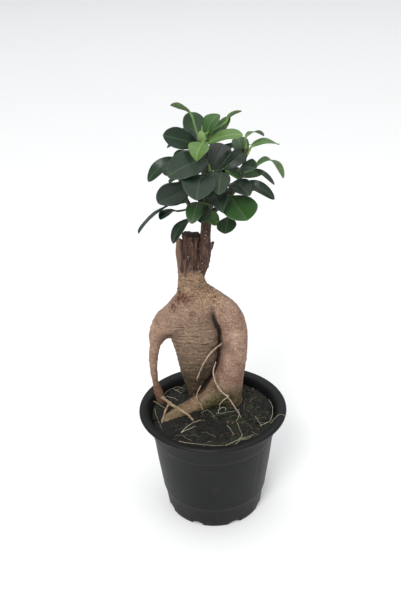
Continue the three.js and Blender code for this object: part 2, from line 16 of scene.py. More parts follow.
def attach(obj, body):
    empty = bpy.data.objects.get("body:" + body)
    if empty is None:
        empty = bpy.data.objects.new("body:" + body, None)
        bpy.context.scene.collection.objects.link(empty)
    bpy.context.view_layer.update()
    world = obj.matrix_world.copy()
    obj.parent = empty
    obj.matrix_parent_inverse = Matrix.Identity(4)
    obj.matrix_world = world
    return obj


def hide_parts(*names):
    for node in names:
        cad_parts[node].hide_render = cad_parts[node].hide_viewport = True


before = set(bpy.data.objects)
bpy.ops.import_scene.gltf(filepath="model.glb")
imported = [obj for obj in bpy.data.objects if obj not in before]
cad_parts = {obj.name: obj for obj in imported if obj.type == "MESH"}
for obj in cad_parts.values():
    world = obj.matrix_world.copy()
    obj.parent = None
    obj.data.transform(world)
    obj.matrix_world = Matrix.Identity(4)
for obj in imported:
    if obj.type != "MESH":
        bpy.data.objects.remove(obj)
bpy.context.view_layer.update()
print("solid model:", sorted(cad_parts))

# %% [markdown]
# Plants are easier to think of in millimetres, and Blender works in metres. One constant turns
# the first into the second. Colours are picked as ordinary screen values from 0 to 255, and
# shaders want linear light, so a small function converts them.

# %% Units and colours
MM = 0.001


def paint(red, green, blue):
    """A screen colour, 0 to 255, as the linear colour that shaders use."""
    channels = [c / 255 for c in (red, green, blue)]
    linear = [c / 12.92 if c < 0.04045 else ((c + 0.055) / 1.055) ** 2.4 for c in channels]
    return (*linear, 1)


print("moss green in linear light:", [round(c, 3) for c in paint(80, 90, 45)])

# %% [markdown]
# The photographer stood a little above the crown and looked down by about 27 degrees, with a
# lens of medium length and a slight tilt of the hand. Setting the camera first means that each
# piece can be judged against the picture as soon as it is made.

# %% Camera
CAMERA_PLACE = (-7.8, -571.9, 497.3)
CAMERA_DOWN = math.radians(27.4)
CAMERA_ROLL = -0.03
LENS = 47.92
SENSOR = 36

camera_data = bpy.data.cameras.new("camera")
camera_data.sensor_width = SENSOR
camera_data.lens = LENS
camera = bpy.data.objects.new("camera", camera_data)
bpy.context.scene.collection.objects.link(camera)
look = Matrix.Rotation(math.pi / 2 - CAMERA_DOWN, 4, "X") @ Matrix.Rotation(CAMERA_ROLL, 4, "Z")
camera.matrix_world = Matrix.Translation(Vector(CAMERA_PLACE) * MM) @ look
bpy.context.scene.camera = camera
print("camera at", [round(c, 3) for c in camera.location])

# %% [markdown]
# Every mesh below is made from a list of points and faces. A piece can also carry a number at
# each point, such as how mossy the bark is there. Blender calls this an attribute, and the
# materials read it. That keeps the link between a place and its look in one spot.

# %% Make a mesh piece that rides with the plant
def note_traits(data, traits):
    """Keeps one number at each point of a mesh for each trait."""
    for trait, values in traits.items():
        layer = data.attributes.new(trait, "FLOAT", "POINT")
        layer.data.foreach_set("value", np.asarray(values, np.float32))


def mesh_piece(name, points, faces, traits=None):
    """A smooth mesh from points in millimetres, with one number per point for each trait."""
    data = bpy.data.meshes.new(name)
    data.from_pydata((np.asarray(points, float) * MM).tolist(), [], faces)
    data.validate()
    data.shade_smooth()
    note_traits(data, traits or {})
    piece = bpy.data.objects.new(name, data)
    bpy.context.scene.collection.objects.link(piece)
    return piece


def settle_in(piece, node, material):
    """The piece stands for a node of the solid model and takes its finish from a slot."""
    piece.data.materials.clear()
    piece.data.materials.append(material)
    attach(piece, "root")
    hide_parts(node)
    print(f"{piece.name}: {len(piece.data.vertices)} points, {len(piece.data.polygons)} faces")


# %% [markdown]
# Several meshes often grow together into one piece, such as the leaves and their twig. This
# small collector stacks their points and renumbers their faces.

# %% Collect meshes into one
class Growth:
    """Points, faces and traits of several meshes that form one piece."""

    def __init__(self, *traits):
        self.points = []
        self.faces = []
        self.traits = {trait: [] for trait in traits}

    def add(self, points, faces, **values):
        start = len(self.points)
        self.points.extend(np.asarray(points, float).tolist())
        self.faces.extend([[start + corner for corner in face] for face in faces])
        for trait, known in self.traits.items():
            known.extend(np.broadcast_to(values.get(trait, 0.0), len(points)).tolist())

    def piece(self, name):
        return mesh_piece(name, self.points, self.faces, self.traits)


print("an empty collector holds", len(Growth().points), "points")

# %% [markdown]
# Roots, twigs and leaf stalks are all round bars that bend and taper. One function sweeps a ring
# of points along a smooth curve. The curve is the same Catmull-Rom curve that the solid model
# uses, so the fine twigs lie where the plain ones do.

# %% Smooth curves
def smooth_line(points, steps):
    """Evenly counted points on a centripetal Catmull-Rom curve. Extra columns ride along."""
    p = np.asarray(points, float)
    ends = np.vstack([2 * p[0] - p[1], p, 2 * p[-1] - p[-2]])
    made = []
    for i in range(steps + 1):
        along = min(i / steps * (len(p) - 1), len(p) - 1 - 1e-9)
        k = int(along)
        u = along - k
        a, b, c, d = ends[k:k + 4]
        gap = [max(np.linalg.norm(q[:3] - r[:3]), 1e-4) ** 0.5 for q, r in ((b, a), (c, b), (d, c))]
        leave = (b - a) / gap[0] - (c - a) / (gap[0] + gap[1]) + (c - b) / gap[1]
        reach = (c - b) / gap[1] - (d - b) / (gap[1] + gap[2]) + (d - c) / gap[2]
        m, n = leave * gap[1], reach * gap[1]
        place = b + m * u + (3 * (c - b) - 2 * m - n) * u ** 2 + (2 * (b - c) + m + n) * u ** 3
        made.append(np.append(place[:3], b[3:] + (c[3:] - b[3:]) * u))
    return np.array(made)


bend = smooth_line([(0, 0, 0), (10, 0, 0), (10, 10, 0)], 4)
print("a smooth bend passes", bend[1].round(1), bend[2].round(1), bend[3].round(1))

# %% Swept bars
def bar(points, steps, sides, roughen=None):
    """A closed bar along [x, y, z, radius] points. roughen gives a factor for each place."""
    line = smooth_line(points, steps)
    centre, radius = line[:, :3], line[:, 3]
    heading = np.gradient(centre, axis=0)
    heading /= np.linalg.norm(heading, axis=1)[:, None]
    side = np.cross(heading[0], (0.31, 0.87, 0.38))
    rings = []
    for k in range(steps + 1):
        side = side - heading[k] * side.dot(heading[k])
        side /= np.linalg.norm(side)
        other = np.cross(heading[k], side)
        turn = np.arange(sides) / sides * 2 * math.pi
        factor = roughen(k / steps, turn) if roughen else 1.0
        reach = (radius[k] * factor * np.ones(sides))[:, None]
        round_about = np.cos(turn)[:, None] * side + np.sin(turn)[:, None] * other
        rings.append(centre[k] + reach * round_about)
    rows = np.vstack(rings + [centre[:1], centre[-1:]])
    return rows, tube_faces(steps, sides)


def tube_faces(steps, sides):
    """Faces of a tube of rings, with a fan of triangles at both ends."""
    faces = []
    for k in range(steps):
        for j in range(sides):
            a, b = k * sides + j, k * sides + (j + 1) % sides
            faces.append((a, b, b + sides, a + sides))
    first, last = (steps + 1) * sides, (steps + 1) * sides + 1
    for j in range(sides):
        faces.append((first, (j + 1) % sides, j))
        faces.append((last, steps * sides + j, steps * sides + (j + 1) % sides))
    return faces


print("a bar of 4 steps and 8 sides has", len(tube_faces(4, 8)), "faces")

# %% [markdown]
# A material in Blender is a web of nodes. Written out by hand that takes many lines, so this
# class lets an output socket be used like a number: `1 - mask * 0.5` adds the Math nodes for it.
# Colours are mixed with their own node, because a Math node would turn them grey.

# %% Shader arithmetic
class Wire:
    """An output of a material's node web that Python can do sums with."""

    def __init__(self, tree, socket=None):
        self.tree = tree
        self.socket = socket

    def node(self, kind, settings=None, inputs=None, output=0):
        """Adds a node, applies its settings, then fills or links its inputs."""
        made = self.tree.nodes.new(kind)
        for name, value in (settings or {}).items():
            if name == "stops":
                self.set_stops(made.color_ramp, value)
            else:
                setattr(made, name, value)
        for name, value in (inputs or {}).items():
            if isinstance(value, Wire):
                self.tree.links.new(value.socket, made.inputs[name])
            else:
                made.inputs[name].default_value = value
        return Wire(self.tree, made.outputs[output])

    @staticmethod
    def set_stops(ramp, stops):
        while len(ramp.elements) < len(stops):
            ramp.elements.new(1.0)
        for element, (place, colour) in zip(ramp.elements, stops):
            element.position = place
            element.color = colour

    def sum_with(self, other, operation, flipped=False):
        pair = (other, self) if flipped else (self, other)
        return self.node("ShaderNodeMath", {"operation": operation}, dict(enumerate(pair)))

    def __add__(self, other):
        return self.sum_with(other, "ADD")

    __radd__ = __add__

    def __sub__(self, other):
        return self.sum_with(other, "SUBTRACT")

    def __rsub__(self, other):
        return self.sum_with(other, "SUBTRACT", flipped=True)

    def __mul__(self, other):
        return self.sum_with(other, "MULTIPLY")

    __rmul__ = __mul__

    def at_most(self, other):
        return self.sum_with(other, "MINIMUM")

    def wave(self):
        return self.node("ShaderNodeMath", {"operation": "SINE"}, {0: self})

    def fade(self, low, high, start=0.0, end=1.0):
        """Turns the range low..high into start..end, softly and without overshoot."""
        span = {"Value": self, "From Min": low, "From Max": high, "To Min": start, "To Max": end}
        return self.node("ShaderNodeMapRange", {"interpolation_type": "SMOOTHSTEP"}, span)

    def blend(self, colour, over):
        """Lays a colour over another one where this value is high."""
        inputs = {"Factor": self, 6: over, 7: colour}
        return self.node("ShaderNodeMix", {"data_type": "RGBA", "clamp_factor": True}, inputs, 2)

    def ramp(self, stops):
        return self.node("ShaderNodeValToRGB", {"stops": stops}, {"Fac": self})


print("shader sums ready")

# %% [markdown]
# Each finish starts the same way: one Principled shader, the place on the surface in metres, and
# a few noises. Sharing that start keeps the recipes of the finishes short.

# %% Start a finish
class Finish:
    """A material with one Principled shader and helpers for the patterns in it."""

    def __init__(self, name, **constants):
        self.material = bpy.data.materials.new(name)
        self.material.use_nodes = True
        self.tree = self.material.node_tree
        self.shader = self.tree.nodes["Principled BSDF"]
        for socket, value in constants.items():
            self.shader.inputs[socket.replace("_", " ")].default_value = value
        self.web = Wire(self.tree)
        self.place = self.web.node("ShaderNodeTexCoord", output="Object")

    def trait(self, name):
        return self.web.node("ShaderNodeAttribute", {"attribute_name": name}, output="Fac")

    def stretched(self, x, y, z):
        """The place on the surface, with each axis scaled."""
        return self.web.node("ShaderNodeMapping", inputs={"Vector": self.place, "Scale": (x, y, z)})

    def noise(self, size_mm, detail=3.0, place=None, twist=0.0):
        inputs = {"Vector": place or self.place, "Scale": 1 / (size_mm * MM)}
        inputs |= {"Detail": detail, "Distortion": twist}
        return self.web.node("ShaderNodeTexNoise", inputs=inputs, output="Fac")

    def cells(self, size_mm, feature="F1"):
        inputs = {"Vector": self.place, "Scale": 1 / (size_mm * MM)}
        kind = {"feature": feature}
        return self.web.node("ShaderNodeTexVoronoi", kind, inputs, output="Distance")

    def height(self):
        return self.web.node("ShaderNodeSeparateXYZ", inputs={"Vector": self.place}, output="Z")

    def near(self, centre, reach_mm):
        """1 at a place on the piece, falling to 0 at a distance from it."""
        spot = tuple(c * MM for c in centre)
        inputs = {0: self.place, 1: spot}
        away = self.web.node("ShaderNodeVectorMath", {"operation": "DISTANCE"}, inputs, "Value")
        return away.fade(reach_mm * MM, 0.0)

    def colour(self, wire):
        self.tree.links.new(wire.socket, self.shader.inputs["Base Color"])

    def roughness(self, wire):
        self.tree.links.new(wire.socket, self.shader.inputs["Roughness"])

    def relief(self, height, depth_mm, strength):
        inputs = {"Height": height, "Distance": depth_mm * MM, "Strength": strength}
        bump = self.web.node("ShaderNodeBump", inputs=inputs, output="Normal")
        self.tree.links.new(bump.socket, self.shader.inputs["Normal"])


print("every finish starts from one Principled shader")

# %% [markdown]
# ## The pot
#
# A nursery pot is one thin sheet of black plastic drawn over a mould: a flared lip to lift it by,
# two low ridges that stiffen the wall, and a foot with arches that let water drain away. Turning
# a profile round an axis gives such a shape at once. The arches are made by lifting the lowest
# points of the foot, which keeps the mesh clean, and the drain holes are cut with a Boolean.

# %% Pot sizes
RIM_RADIUS = 63.5
POT_HEIGHT = 99
FOOT_RADIUS = 42
FOOT_INNER_RADIUS = FOOT_RADIUS - 2.6
WALL = 1.6
FLOOR_UNDERSIDE = 4
FLOOR_TOP = 5.8
LOW_RIDGE_Z, LOW_RIDGE_RADIUS = 21, 45.9
HIGH_RIDGE_Z = 76
NECK_Z, NECK_RADIUS = 92, 54.9
LIP_INNER_RADIUS = 55
DRAIN_COUNT = 8
DRAIN_RADIUS = 3.6
DRAIN_CIRCLE = 33
ARCH_HALF_WIDTH = 5.5
ARCH_HEIGHT = 2.8
POT_SIDES = 192


def wall_radius(z):
    """Radius of the pot's outside between the lower ridge and the neck."""
    part = (z - LOW_RIDGE_Z) / (NECK_Z - LOW_RIDGE_Z)
    return LOW_RIDGE_RADIUS + part * (NECK_RADIUS - LOW_RIDGE_RADIUS)


high = wall_radius(HIGH_RIDGE_Z)
print("the wall is", round(high, 1), "mm from the axis at the upper ridge")

# %% Pot profile, from the foot up the outside and down the inside
outside = [
    (FOOT_RADIUS - 0.5, 0), (FOOT_RADIUS, 0.5), (FOOT_RADIUS + 0.5, 4), (43.6, 12), (45.0, 19.4),
    (45.2, 20.2), (45.8, 20.9), (46.0, 21.8), (46.2, 24), (wall_radius(50), 50),
    (high - 0.75, HIGH_RIDGE_Z - 2), (high - 0.7, HIGH_RIDGE_Z - 1),
    (high + 0.1, HIGH_RIDGE_Z - 0.2),
    (high + 0.3, HIGH_RIDGE_Z + 0.8), (high + 0.4, HIGH_RIDGE_Z + 4), (NECK_RADIUS - 0.2, 90),
    (NECK_RADIUS + 0.3, 92), (NECK_RADIUS + 1.3, 93.6), (57.4, 94.7), (60.0, 95.1),
]
lip = [
    (62.2, 95.3), (63.0, 95.7), (RIM_RADIUS, 96.5), (63.4, 97.4), (62.9, 98.3), (62.0, 98.8),
    (60.8, POT_HEIGHT), (59.2, 98.8), (57.4, 98.2), (56.0, 97.4), (LIP_INNER_RADIUS, 96.2),
    (54.2, 94.4), (53.5, 92),
]
inside = [
    (wall_radius(88) - WALL, 88), (wall_radius(55) - WALL, 55), (wall_radius(24) - WALL, 24),
    (43.6, 14), (41.6, FLOOR_TOP + 0.9), (40.6, FLOOR_TOP), (20, FLOOR_TOP), (0, FLOOR_TOP),
]
underside = [
    (0, FLOOR_UNDERSIDE), (20, FLOOR_UNDERSIDE), (39.2, FLOOR_UNDERSIDE),
    (FOOT_INNER_RADIUS, 3.4), (FOOT_INNER_RADIUS, 0.4), (FOOT_INNER_RADIUS + 0.4, 0),
]
profile = outside + lip + inside + underside
print("profile points:", len(profile))

# %% Foot arches and the wall's small faults
DENT_TURN, DENT_Z = 5.55, 52


def arch_lift(turn):
    """How far the foot is lifted at a place round the pot, to form the drain arches."""
    part = 2 * math.pi / DRAIN_COUNT
    off = abs((turn % part) - part / 2) * FOOT_RADIUS
    return ARCH_HEIGHT * math.sqrt(max(1 - (off / ARCH_HALF_WIDTH) ** 2, 0))


def pot_place(radius, z, turn):
    """A point of the skin: thin walls sway a little, and this one has a narrow upright dent."""
    lifted = max(z, arch_lift(turn) + z * 0.2) if z < ARCH_HEIGHT else z
    dent = 0.5 * math.exp(-((turn - DENT_TURN) / 0.035) ** 2 - ((z - DENT_Z) / 9) ** 2)
    sway = 0.12 * math.sin(3 * turn + z / 40) + 0.08 * math.sin(5 * turn - z / 25)
    reach = radius - dent + (sway if 6 < z < 94 else 0)
    return reach * math.cos(turn), reach * math.sin(turn), lifted


print("an arch lifts the foot by", arch_lift(math.pi / DRAIN_COUNT), "mm at its middle")

# %% Turn the profile
def turned_pot():
    """One closed turned skin. The two profile points on the axis become single points."""
    points, faces, rows = [], [], []
    for radius, z in profile:
        if radius == 0:
            rows.append([len(points)] * POT_SIDES)
            points.append((0, 0, z))
            continue
        rows.append(list(range(len(points), len(points) + POT_SIDES)))
        points.extend(pot_place(radius, z, j / POT_SIDES * 2 * math.pi) for j in range(POT_SIDES))
    for low, top in zip(rows, rows[1:] + rows[:1]):
        for j in range(POT_SIDES):
            k = (j + 1) % POT_SIDES
            corners = list(dict.fromkeys((low[j], low[k], top[k], top[j])))
            if len(corners) > 2:
                faces.append(corners)
    return points, faces


pot = mesh_piece("nursery_pot", *turned_pot())
print("pot points:", len(pot.data.vertices))

# %% Cut the drain holes
def drill(piece, radius, places, low, top):
    """Cuts upright round holes and leaves nothing of the cutters behind."""
    cutters = Growth()
    for x, y in places:
        cutters.add(*bar([(x, y, low, radius), (x, y, top, radius)], 1, 24))
    cutter = cutters.piece("cutter")
    cut = piece.modifiers.new("cut", "BOOLEAN")
    cut.operation, cut.object, cut.solver = "DIFFERENCE", cutter, "EXACT"
    evaluated = piece.evaluated_get(bpy.context.evaluated_depsgraph_get())
    piece.data = bpy.data.meshes.new_from_object(evaluated)
    piece.modifiers.clear()
    bpy.data.objects.remove(cutter)


turns = [(i + 0.5) * 2 * math.pi / DRAIN_COUNT for i in range(DRAIN_COUNT)]
holes = [(DRAIN_CIRCLE * math.cos(turn), DRAIN_CIRCLE * math.sin(turn)) for turn in turns]
drill(pot, DRAIN_RADIUS, holes, FLOOR_UNDERSIDE - 2, FLOOR_TOP + 2)
print("pot faces after drilling:", len(pot.data.polygons))

# %% [markdown]
# Black polypropylene isn't quite black. It has a satin skin with a fine orange-peel relief,
# pale scuffs where pots rub in a tray, dried splashes, and dust low on the wall. Squeezing a noise
# in height draws the rubbing marks round the pot, and the dust fades out with height.

# %% Black plastic finish
SCUFF_PLACES = [((5, -54, 74), 4), ((0, -49, 46), 5)]
plastic = Finish("black_plastic", Specular_IOR_Level=0.22)
rubbed = plastic.noise(26, 6, plastic.stretched(1, 1, 6), twist=1.2).fade(0.56, 0.78)
specks = plastic.cells(5.5).fade(0.16, 0.05) * plastic.noise(17, 2).fade(0.55, 0.68)
dust = plastic.height().fade(0.030, 0.0, 0.0, 0.5) * plastic.noise(7, 5).fade(0.4, 0.7)
splash = plastic.noise(9, 6, plastic.stretched(1, 1, 0.5)).fade(0.60, 0.75) * 0.35
scuffed = sum(plastic.near(place, reach_mm) for place, reach_mm in SCUFF_PLACES)
scuffs = scuffed * plastic.noise(1.2, 4).fade(0.45, 0.6)
worn = (rubbed * 0.35 + specks * 0.55 + dust + splash + scuffs * 1.2).at_most(1.0)
black = plastic.noise(40, 3).ramp([(0.3, paint(12, 13, 14)), (0.7, paint(19, 20, 20))])
plastic.colour((worn * 0.45).blend(paint(70, 68, 63), black))
plastic.roughness(0.42 + worn * 0.3 + plastic.noise(3, 2) * 0.12)
plastic.relief(plastic.noise(0.5, 2) * 0.5 + plastic.noise(6, 3) + worn * 0.4, 0.12, 0.6)
settle_in(pot, "pot", plastic.material)

# %% [markdown]
# ## The root trunk
#
# A ginseng ficus shows its storage roots above the soil. They swell, lean together and fuse, so
# the trunk looks like a torso with arms, and a crease stays where two roots only lie against
# each other. Such soft joins are hard to draw with curves. A distance rule does it simply: each
# limb is a chain of balls, and a soft minimum lets the limbs run together. The chains are those of
# the solid model, so both trunks have the same pose.

# %% Limbs of the trunk, as chains of x, y, z and radius
body_limbs = [
    [(-14, 12, 236, 8.2), (-14.6, 12, 226, 9.8), (-14.3, 12, 212, 11), (-13.2, 12.5, 201, 13.2),
     (-12.4, 13, 190, 16)],
    [(-19, 14, 186, 12.5), (-20.5, 15, 170, 13.2), (-20, 17, 155, 12.4), (-18.4, 20, 138, 11.2),
     (-16.4, 24, 120, 10.2), (-14, 28, 104, 8.6), (-12, 30, 90, 7), (-11, 31, 74, 4)],
    [(-6, 13, 188, 12.5), (-4.6, 13.5, 170, 13.6), (-4.6, 16, 155, 13.2), (-4.6, 19, 138, 12.6),
     (-6, 23, 122, 11.4), (-9, 28, 104, 8.8), (-10.6, 30, 90, 7), (-10, 31, 76, 4)],
    [(-14, 13, 188, 11), (-25, 13, 183, 11.2), (-36, 13, 175.5, 11.2), (-43.2, 13.5, 165, 8.4),
     (-46.2, 13.8, 157, 4.8)],
]
leg_limbs = [
    [(-7, 13, 199, 10.5), (3, 13, 191, 11), (13, 13.5, 181, 12), (18.6, 14, 169, 11.5),
     (20.2, 14, 157, 10.9), (20.2, 14, 143, 10.5), (18, 14, 130, 11.3), (15.6, 14, 116, 11.9),
     (16, 15, 102, 10.6), (18, 17, 88, 9), (19, 18, 74, 5)],
    [(14, 15.5, 112, 11), (8.5, 16, 101, 9.6), (-4, 13, 95.6, 7.8), (-14, 9.2, 93.8, 6.9)],
    [(7, 19, 152, 5), (5, 20.5, 130, 6.5), (1, 21.5, 110, 7), (-3, 21, 97, 6), (-5, 21, 84, 4)],
]
slim_limbs = [
    [(-45.4, 13.6, 162, 6), (-47.6, 14, 151, 4.7), (-49.4, 15, 140, 3.8), (-50, 16, 127, 3.1),
     (-49.2, 17, 113, 3), (-47.4, 17.5, 103, 3.6), (-46.2, 17.2, 97, 3.9), (-45.4, 17, 89, 2.8),
     (-45, 17, 78, 1.6)],
    [(-9, 11, 94.4, 5.4), (-18, 7.4, 92.8, 6.7), (-30, 0.6, 90.8, 6), (-41, -7, 88, 4.6),
     (-46, -10, 84, 2.8)],
]
main_stub = [(-13.6, 12, 220, 9.6), (-13.4, 12, 236, 8.2), (-13, 12, 262, 7.6)]
side_stub = [(-20, 13, 210, 4), (-21.6, 12.6, 226, 4), (-22.8, 12, 238, 3.6), (-23.2, 12, 248, 2.6)]
SAW_CENTRE = np.array((-13, 12, 254))
SAW_UP = np.array((0.1038, 0.1392, 0.9848))
print("limbs:", len(body_limbs) + len(leg_limbs) + len(slim_limbs) + 2)

# %% Distance to the limbs
FAR = 1e3


def soft_min(a, b, blend):
    """The smaller of two distances, rounded over where they are close."""
    mix = np.maximum(blend - np.abs(a - b), 0) / blend
    return np.minimum(a, b) - mix * mix * blend / 4


def to_chain(points, chain, steps):
    """Distance from each point to a chain of balls."""
    line = smooth_line(chain, steps)
    nearest = np.full(len(points), FAR)
    for a, b in zip(line, line[1:]):
        run = b[:3] - a[:3]
        t = np.clip((points - a[:3]) @ run / (run @ run), 0, 1)
        gap = np.linalg.norm(points - a[:3] - t[:, None] * run, axis=1)
        nearest = np.minimum(nearest, gap - a[3] - t * (b[3] - a[3]))
    return nearest


print("two limbs, each 1 mm away, join to", float(soft_min(np.array(1.0), np.array(1.0), 2)), "mm")

# %% Distance to the whole trunk
def to_group(points, chains, blend):
    """Distance to several chains that have grown together."""
    whole = np.full(len(points), FAR)
    for chain in chains:
        whole = soft_min(whole, to_chain(points, chain, 2 * len(chain)), blend)
    return whole


def trunk_parts(points):
    """Distances to the body, the legs, the slim ends, and both stubs."""
    body = to_group(points, body_limbs, 8)
    legs = to_group(points, leg_limbs, 4)
    slim = to_group(points, slim_limbs, 1)
    above_saw = (points - SAW_CENTRE) @ SAW_UP
    main = np.maximum(to_chain(points, main_stub, 8), above_saw)
    return body, legs, slim, main, to_chain(points, side_stub, 8)


def trunk_distance(points):
    """Below zero inside the trunk, zero on its surface."""
    body, legs, slim, main, side = trunk_parts(points)
    whole = soft_min(soft_min(body, legs, 2), slim, 2)
    return soft_min(soft_min(whole, main, 1.2), side, 0.8)


chest_middle = np.array([[-12.0, 14, 170]])
print("the chest is", round(-float(trunk_distance(chest_middle)[0]), 1), "mm deep at its middle")

# %% [markdown]
# The solid model's trunk has flat facets. Here round bars are laid along the limbs instead. A
# remesh wraps them in one even skin, and each point then slides along its normal until the
# distance rule says it is on the surface. That gives the round limbs, the soft joins between them
# and the crease that coarse facets can't show.

# %% Points of a piece as arrays
def arrays(piece):
    """The points and normals of a mesh, in millimetres."""
    data = piece.data
    place = np.empty(len(data.vertices) * 3)
    data.vertices.foreach_get("co", place)
    normal = np.array([n.vector for n in data.vertex_normals])
    return place.reshape(-1, 3) / MM, normal


def put(piece, points):
    """Moves the points of a piece to new places, given in millimetres."""
    piece.data.vertices.foreach_set("co", (points * MM).ravel())
    piece.data.update()


print("the pot's first point in mm:", arrays(pot)[0][0].round(1))

# %% Fine skin
SETTLE_STEPS = 7
LONGEST_STEP = 0.8


def fine_skin(piece, grain_mm, distance, reach_mm):
    """Remeshes a piece evenly and slides its points onto the surface of a distance rule."""
    remesh = piece.modifiers.new("remesh", "REMESH")
    remesh.mode, remesh.voxel_size = "VOXEL", grain_mm * MM
    ease = piece.modifiers.new("ease", "SMOOTH")
    ease.iterations, ease.factor = 6, 0.5
    evaluated = piece.evaluated_get(bpy.context.evaluated_depsgraph_get())
    piece.data = bpy.data.meshes.new_from_object(evaluated)
    piece.modifiers.clear()
    start, _ = arrays(piece)
    for _ in range(SETTLE_STEPS):
        points, normal = arrays(piece)
        slide = np.clip(distance(points), -LONGEST_STEP, LONGEST_STEP)
        moved = points - normal * slide[:, None]
        pull = moved - start
        length = np.linalg.norm(pull, axis=1, keepdims=True)
        put(piece, start + pull * np.minimum(1, reach_mm / np.maximum(length, 1e-6)))
    piece.data.shade_smooth()


TRUNK_GRAIN = 0.9
TRUNK_REACH = 5.0
sawn_stub = main_stub[:2] + [(-13.1, 12, 254, 7.8)]

bars = Growth()
for line in body_limbs + leg_limbs + slim_limbs + [sawn_stub, side_stub]:
    bars.add(*bar(line, 4 * len(line), 24))
trunk = bars.piece("root_trunk_skin")
fine_skin(trunk, TRUNK_GRAIN, trunk_distance, TRUNK_REACH)
print("trunk points:", len(trunk.data.vertices))

# %% [markdown]
# Fig bark on a swollen root is thin and pale. It has fine rings that run round the limb like
# creases at a joint, small corky dots, and lumps left by old rootlets. The sawn stub keeps rough
# dark bark with upright furrows. The rings and furrows are pushed into the skin itself, because
# their shadows show, and the finest grain is left to the material.

# %% Noise over many points
def noisy(points, size_mm, octaves, seed):
    """Perlin noise, about -1 to 1, at each point. size_mm may differ per axis."""
    spread = np.broadcast_to(np.asarray(size_mm, float), 3)
    scaled = points / spread + seed
    total = np.zeros(len(points))
    for octave in range(octaves):
        factor = 2.0 ** octave
        total += [noise.noise(row) / factor for row in (scaled * factor).tolist()]
    return total


def step_up(value, low, high):
    """0 below low, 1 above high, and a soft step between them. It steps down if low > high."""
    t = np.clip((value - low) / (high - low), 0, 1)
    return t * t * (3 - 2 * t)


def bump_at(points, centre, reach):
    """1 at a place and falling off round it like a soft mound."""
    return np.exp(-(np.linalg.norm(points - np.array(centre), axis=1) / reach) ** 2)


print("noise at the origin:", round(float(noisy(np.zeros((1, 3)), 5, 1, 0.3)[0]), 3))

# %% [markdown]
# Each kind of bark has its own place on the trunk. A place is best given by what the plant does
# there: near which limb a point lies, how high it is, and which way it faces. Each rule below gives
# a number from 0 to 1 at every point. The same numbers later shape the relief and choose the
# colours, so the painted shade of the crease lies exactly where the crease is deep.

# %% Where the sawn wood and the neck are
skin, skin_normal = arrays(trunk)
body_gap, leg_gap, _, main_gap, side_gap = trunk_parts(skin)
x, y, z = skin.T
ragged = z + 4.5 * noisy(skin, (3.2, 3.2, 9), 2, 4.6) + 3 * noisy(skin, 9, 1, 8.3)
stub = step_up(ragged, 222, 227) * step_up(side_gap - main_gap, -2.5, -0.5)
side_wood = step_up(ragged, 218, 223) * step_up(main_gap - side_gap, -0.5, 1.0)
saw_face = step_up((skin - SAW_CENTRE) @ SAW_UP, -0.9, -0.3) * step_up(z, 240, 246)
# split is the cleft between the two stubs: a groove in the skin, with painted shade in the bark's
# colour.
split = np.exp(-((side_gap - main_gap) / 0.9) ** 2) * step_up(z, 222, 228) * (1 - saw_face)
neck = step_up(ragged, 194, 208) * (1 - stub) * (1 - side_wood)
print("share of points on sawn wood:", round(float((stub > 0.5).mean()), 3))

# %% Where the thick arm lies against the chest
apart = leg_gap - body_gap
in_front = step_up(-skin_normal[:, 1], -0.4, 0.1)
folded = step_up(z, 92, 102) * (1 - step_up(z, 176, 200)) * in_front
# crease is the groove where the thick arm lies on the chest: it is pushed into the skin, and the
# bark there gets painted shade. fold_shade is painted shade on the chest beside the arm. in_front
# keeps both to skin that faces the front.
crease = np.exp(-(apart / np.where(apart > 0, 2.6, 0.9)) ** 2)
crease *= step_up(np.minimum(body_gap, leg_gap), 6, 1)
crease *= folded * (1 - 0.35 * step_up(z, 150, 178))
fade_out = 6.5 + 5 * (1 - step_up(z, 112, 160))
fold_shade = step_up(apart, -0.8, 0.3) * np.exp(-np.maximum(apart, 0) / fade_out)
fold_shade *= folded * step_up(x, -18, -6)
print("share of points in the crease:", round(float((crease > 0.5).mean()), 3))

# %% Where the chest and the waist are, and the painted shadow under the slim arm's shoulder
chest_edge = step_up(apart + 4 * noisy(skin, (5, 5, 9), 2, 7.1), -1, 6)
slim_edge = step_up(x + 5 * noisy(skin, 8, 2, 6.6), -50, -26)
torso = chest_edge * (1 - step_up(z, 196, 206)) * slim_edge
low_body = torso * (1 - step_up(z + 6 * noisy(skin, 12, 1, 2.9), 104, 172))
waist = torso * step_up(z, 116, 138) * (1 - step_up(z, 168, 186))
facing_down = step_up(-skin_normal[:, 2], 0, 0.6)
# Painted shadow under the slim arm's shoulder, mostly where the skin faces down.
armpit_shadow = bump_at(skin, (-31, 4, 166), 6) + bump_at(skin, (-38, 8, 165), 6) * facing_down
print("share of points on the chest:", round(float((torso > 0.5).mean()), 3))

# %% Where the feet are tanned and mossy
foot_tan = (1 - step_up(z + 5 * noisy(skin, 9, 2, 5.2), 92, 120)) * (1 - torso)
knee = bump_at(skin, (14, 4, 98), 15) + 0.8 * bump_at(skin, (0, 4, 96), 9)
foot = bump_at(skin, (-36, -4, 92), 11) + 0.5 * (1 - step_up(z, 88, 97))
moss = np.clip(knee + 0.45 * foot, 0, 1) * (1 - step_up(z, 112, 126))
print("share of mossy points:", round(float((moss > 0.4).mean()), 3))

# %% Push the bark relief into the skin
PEELED_FLAKE = (-26, 1.5, 200)
SCAR_PIT = (-14.5, -2.5, 190)

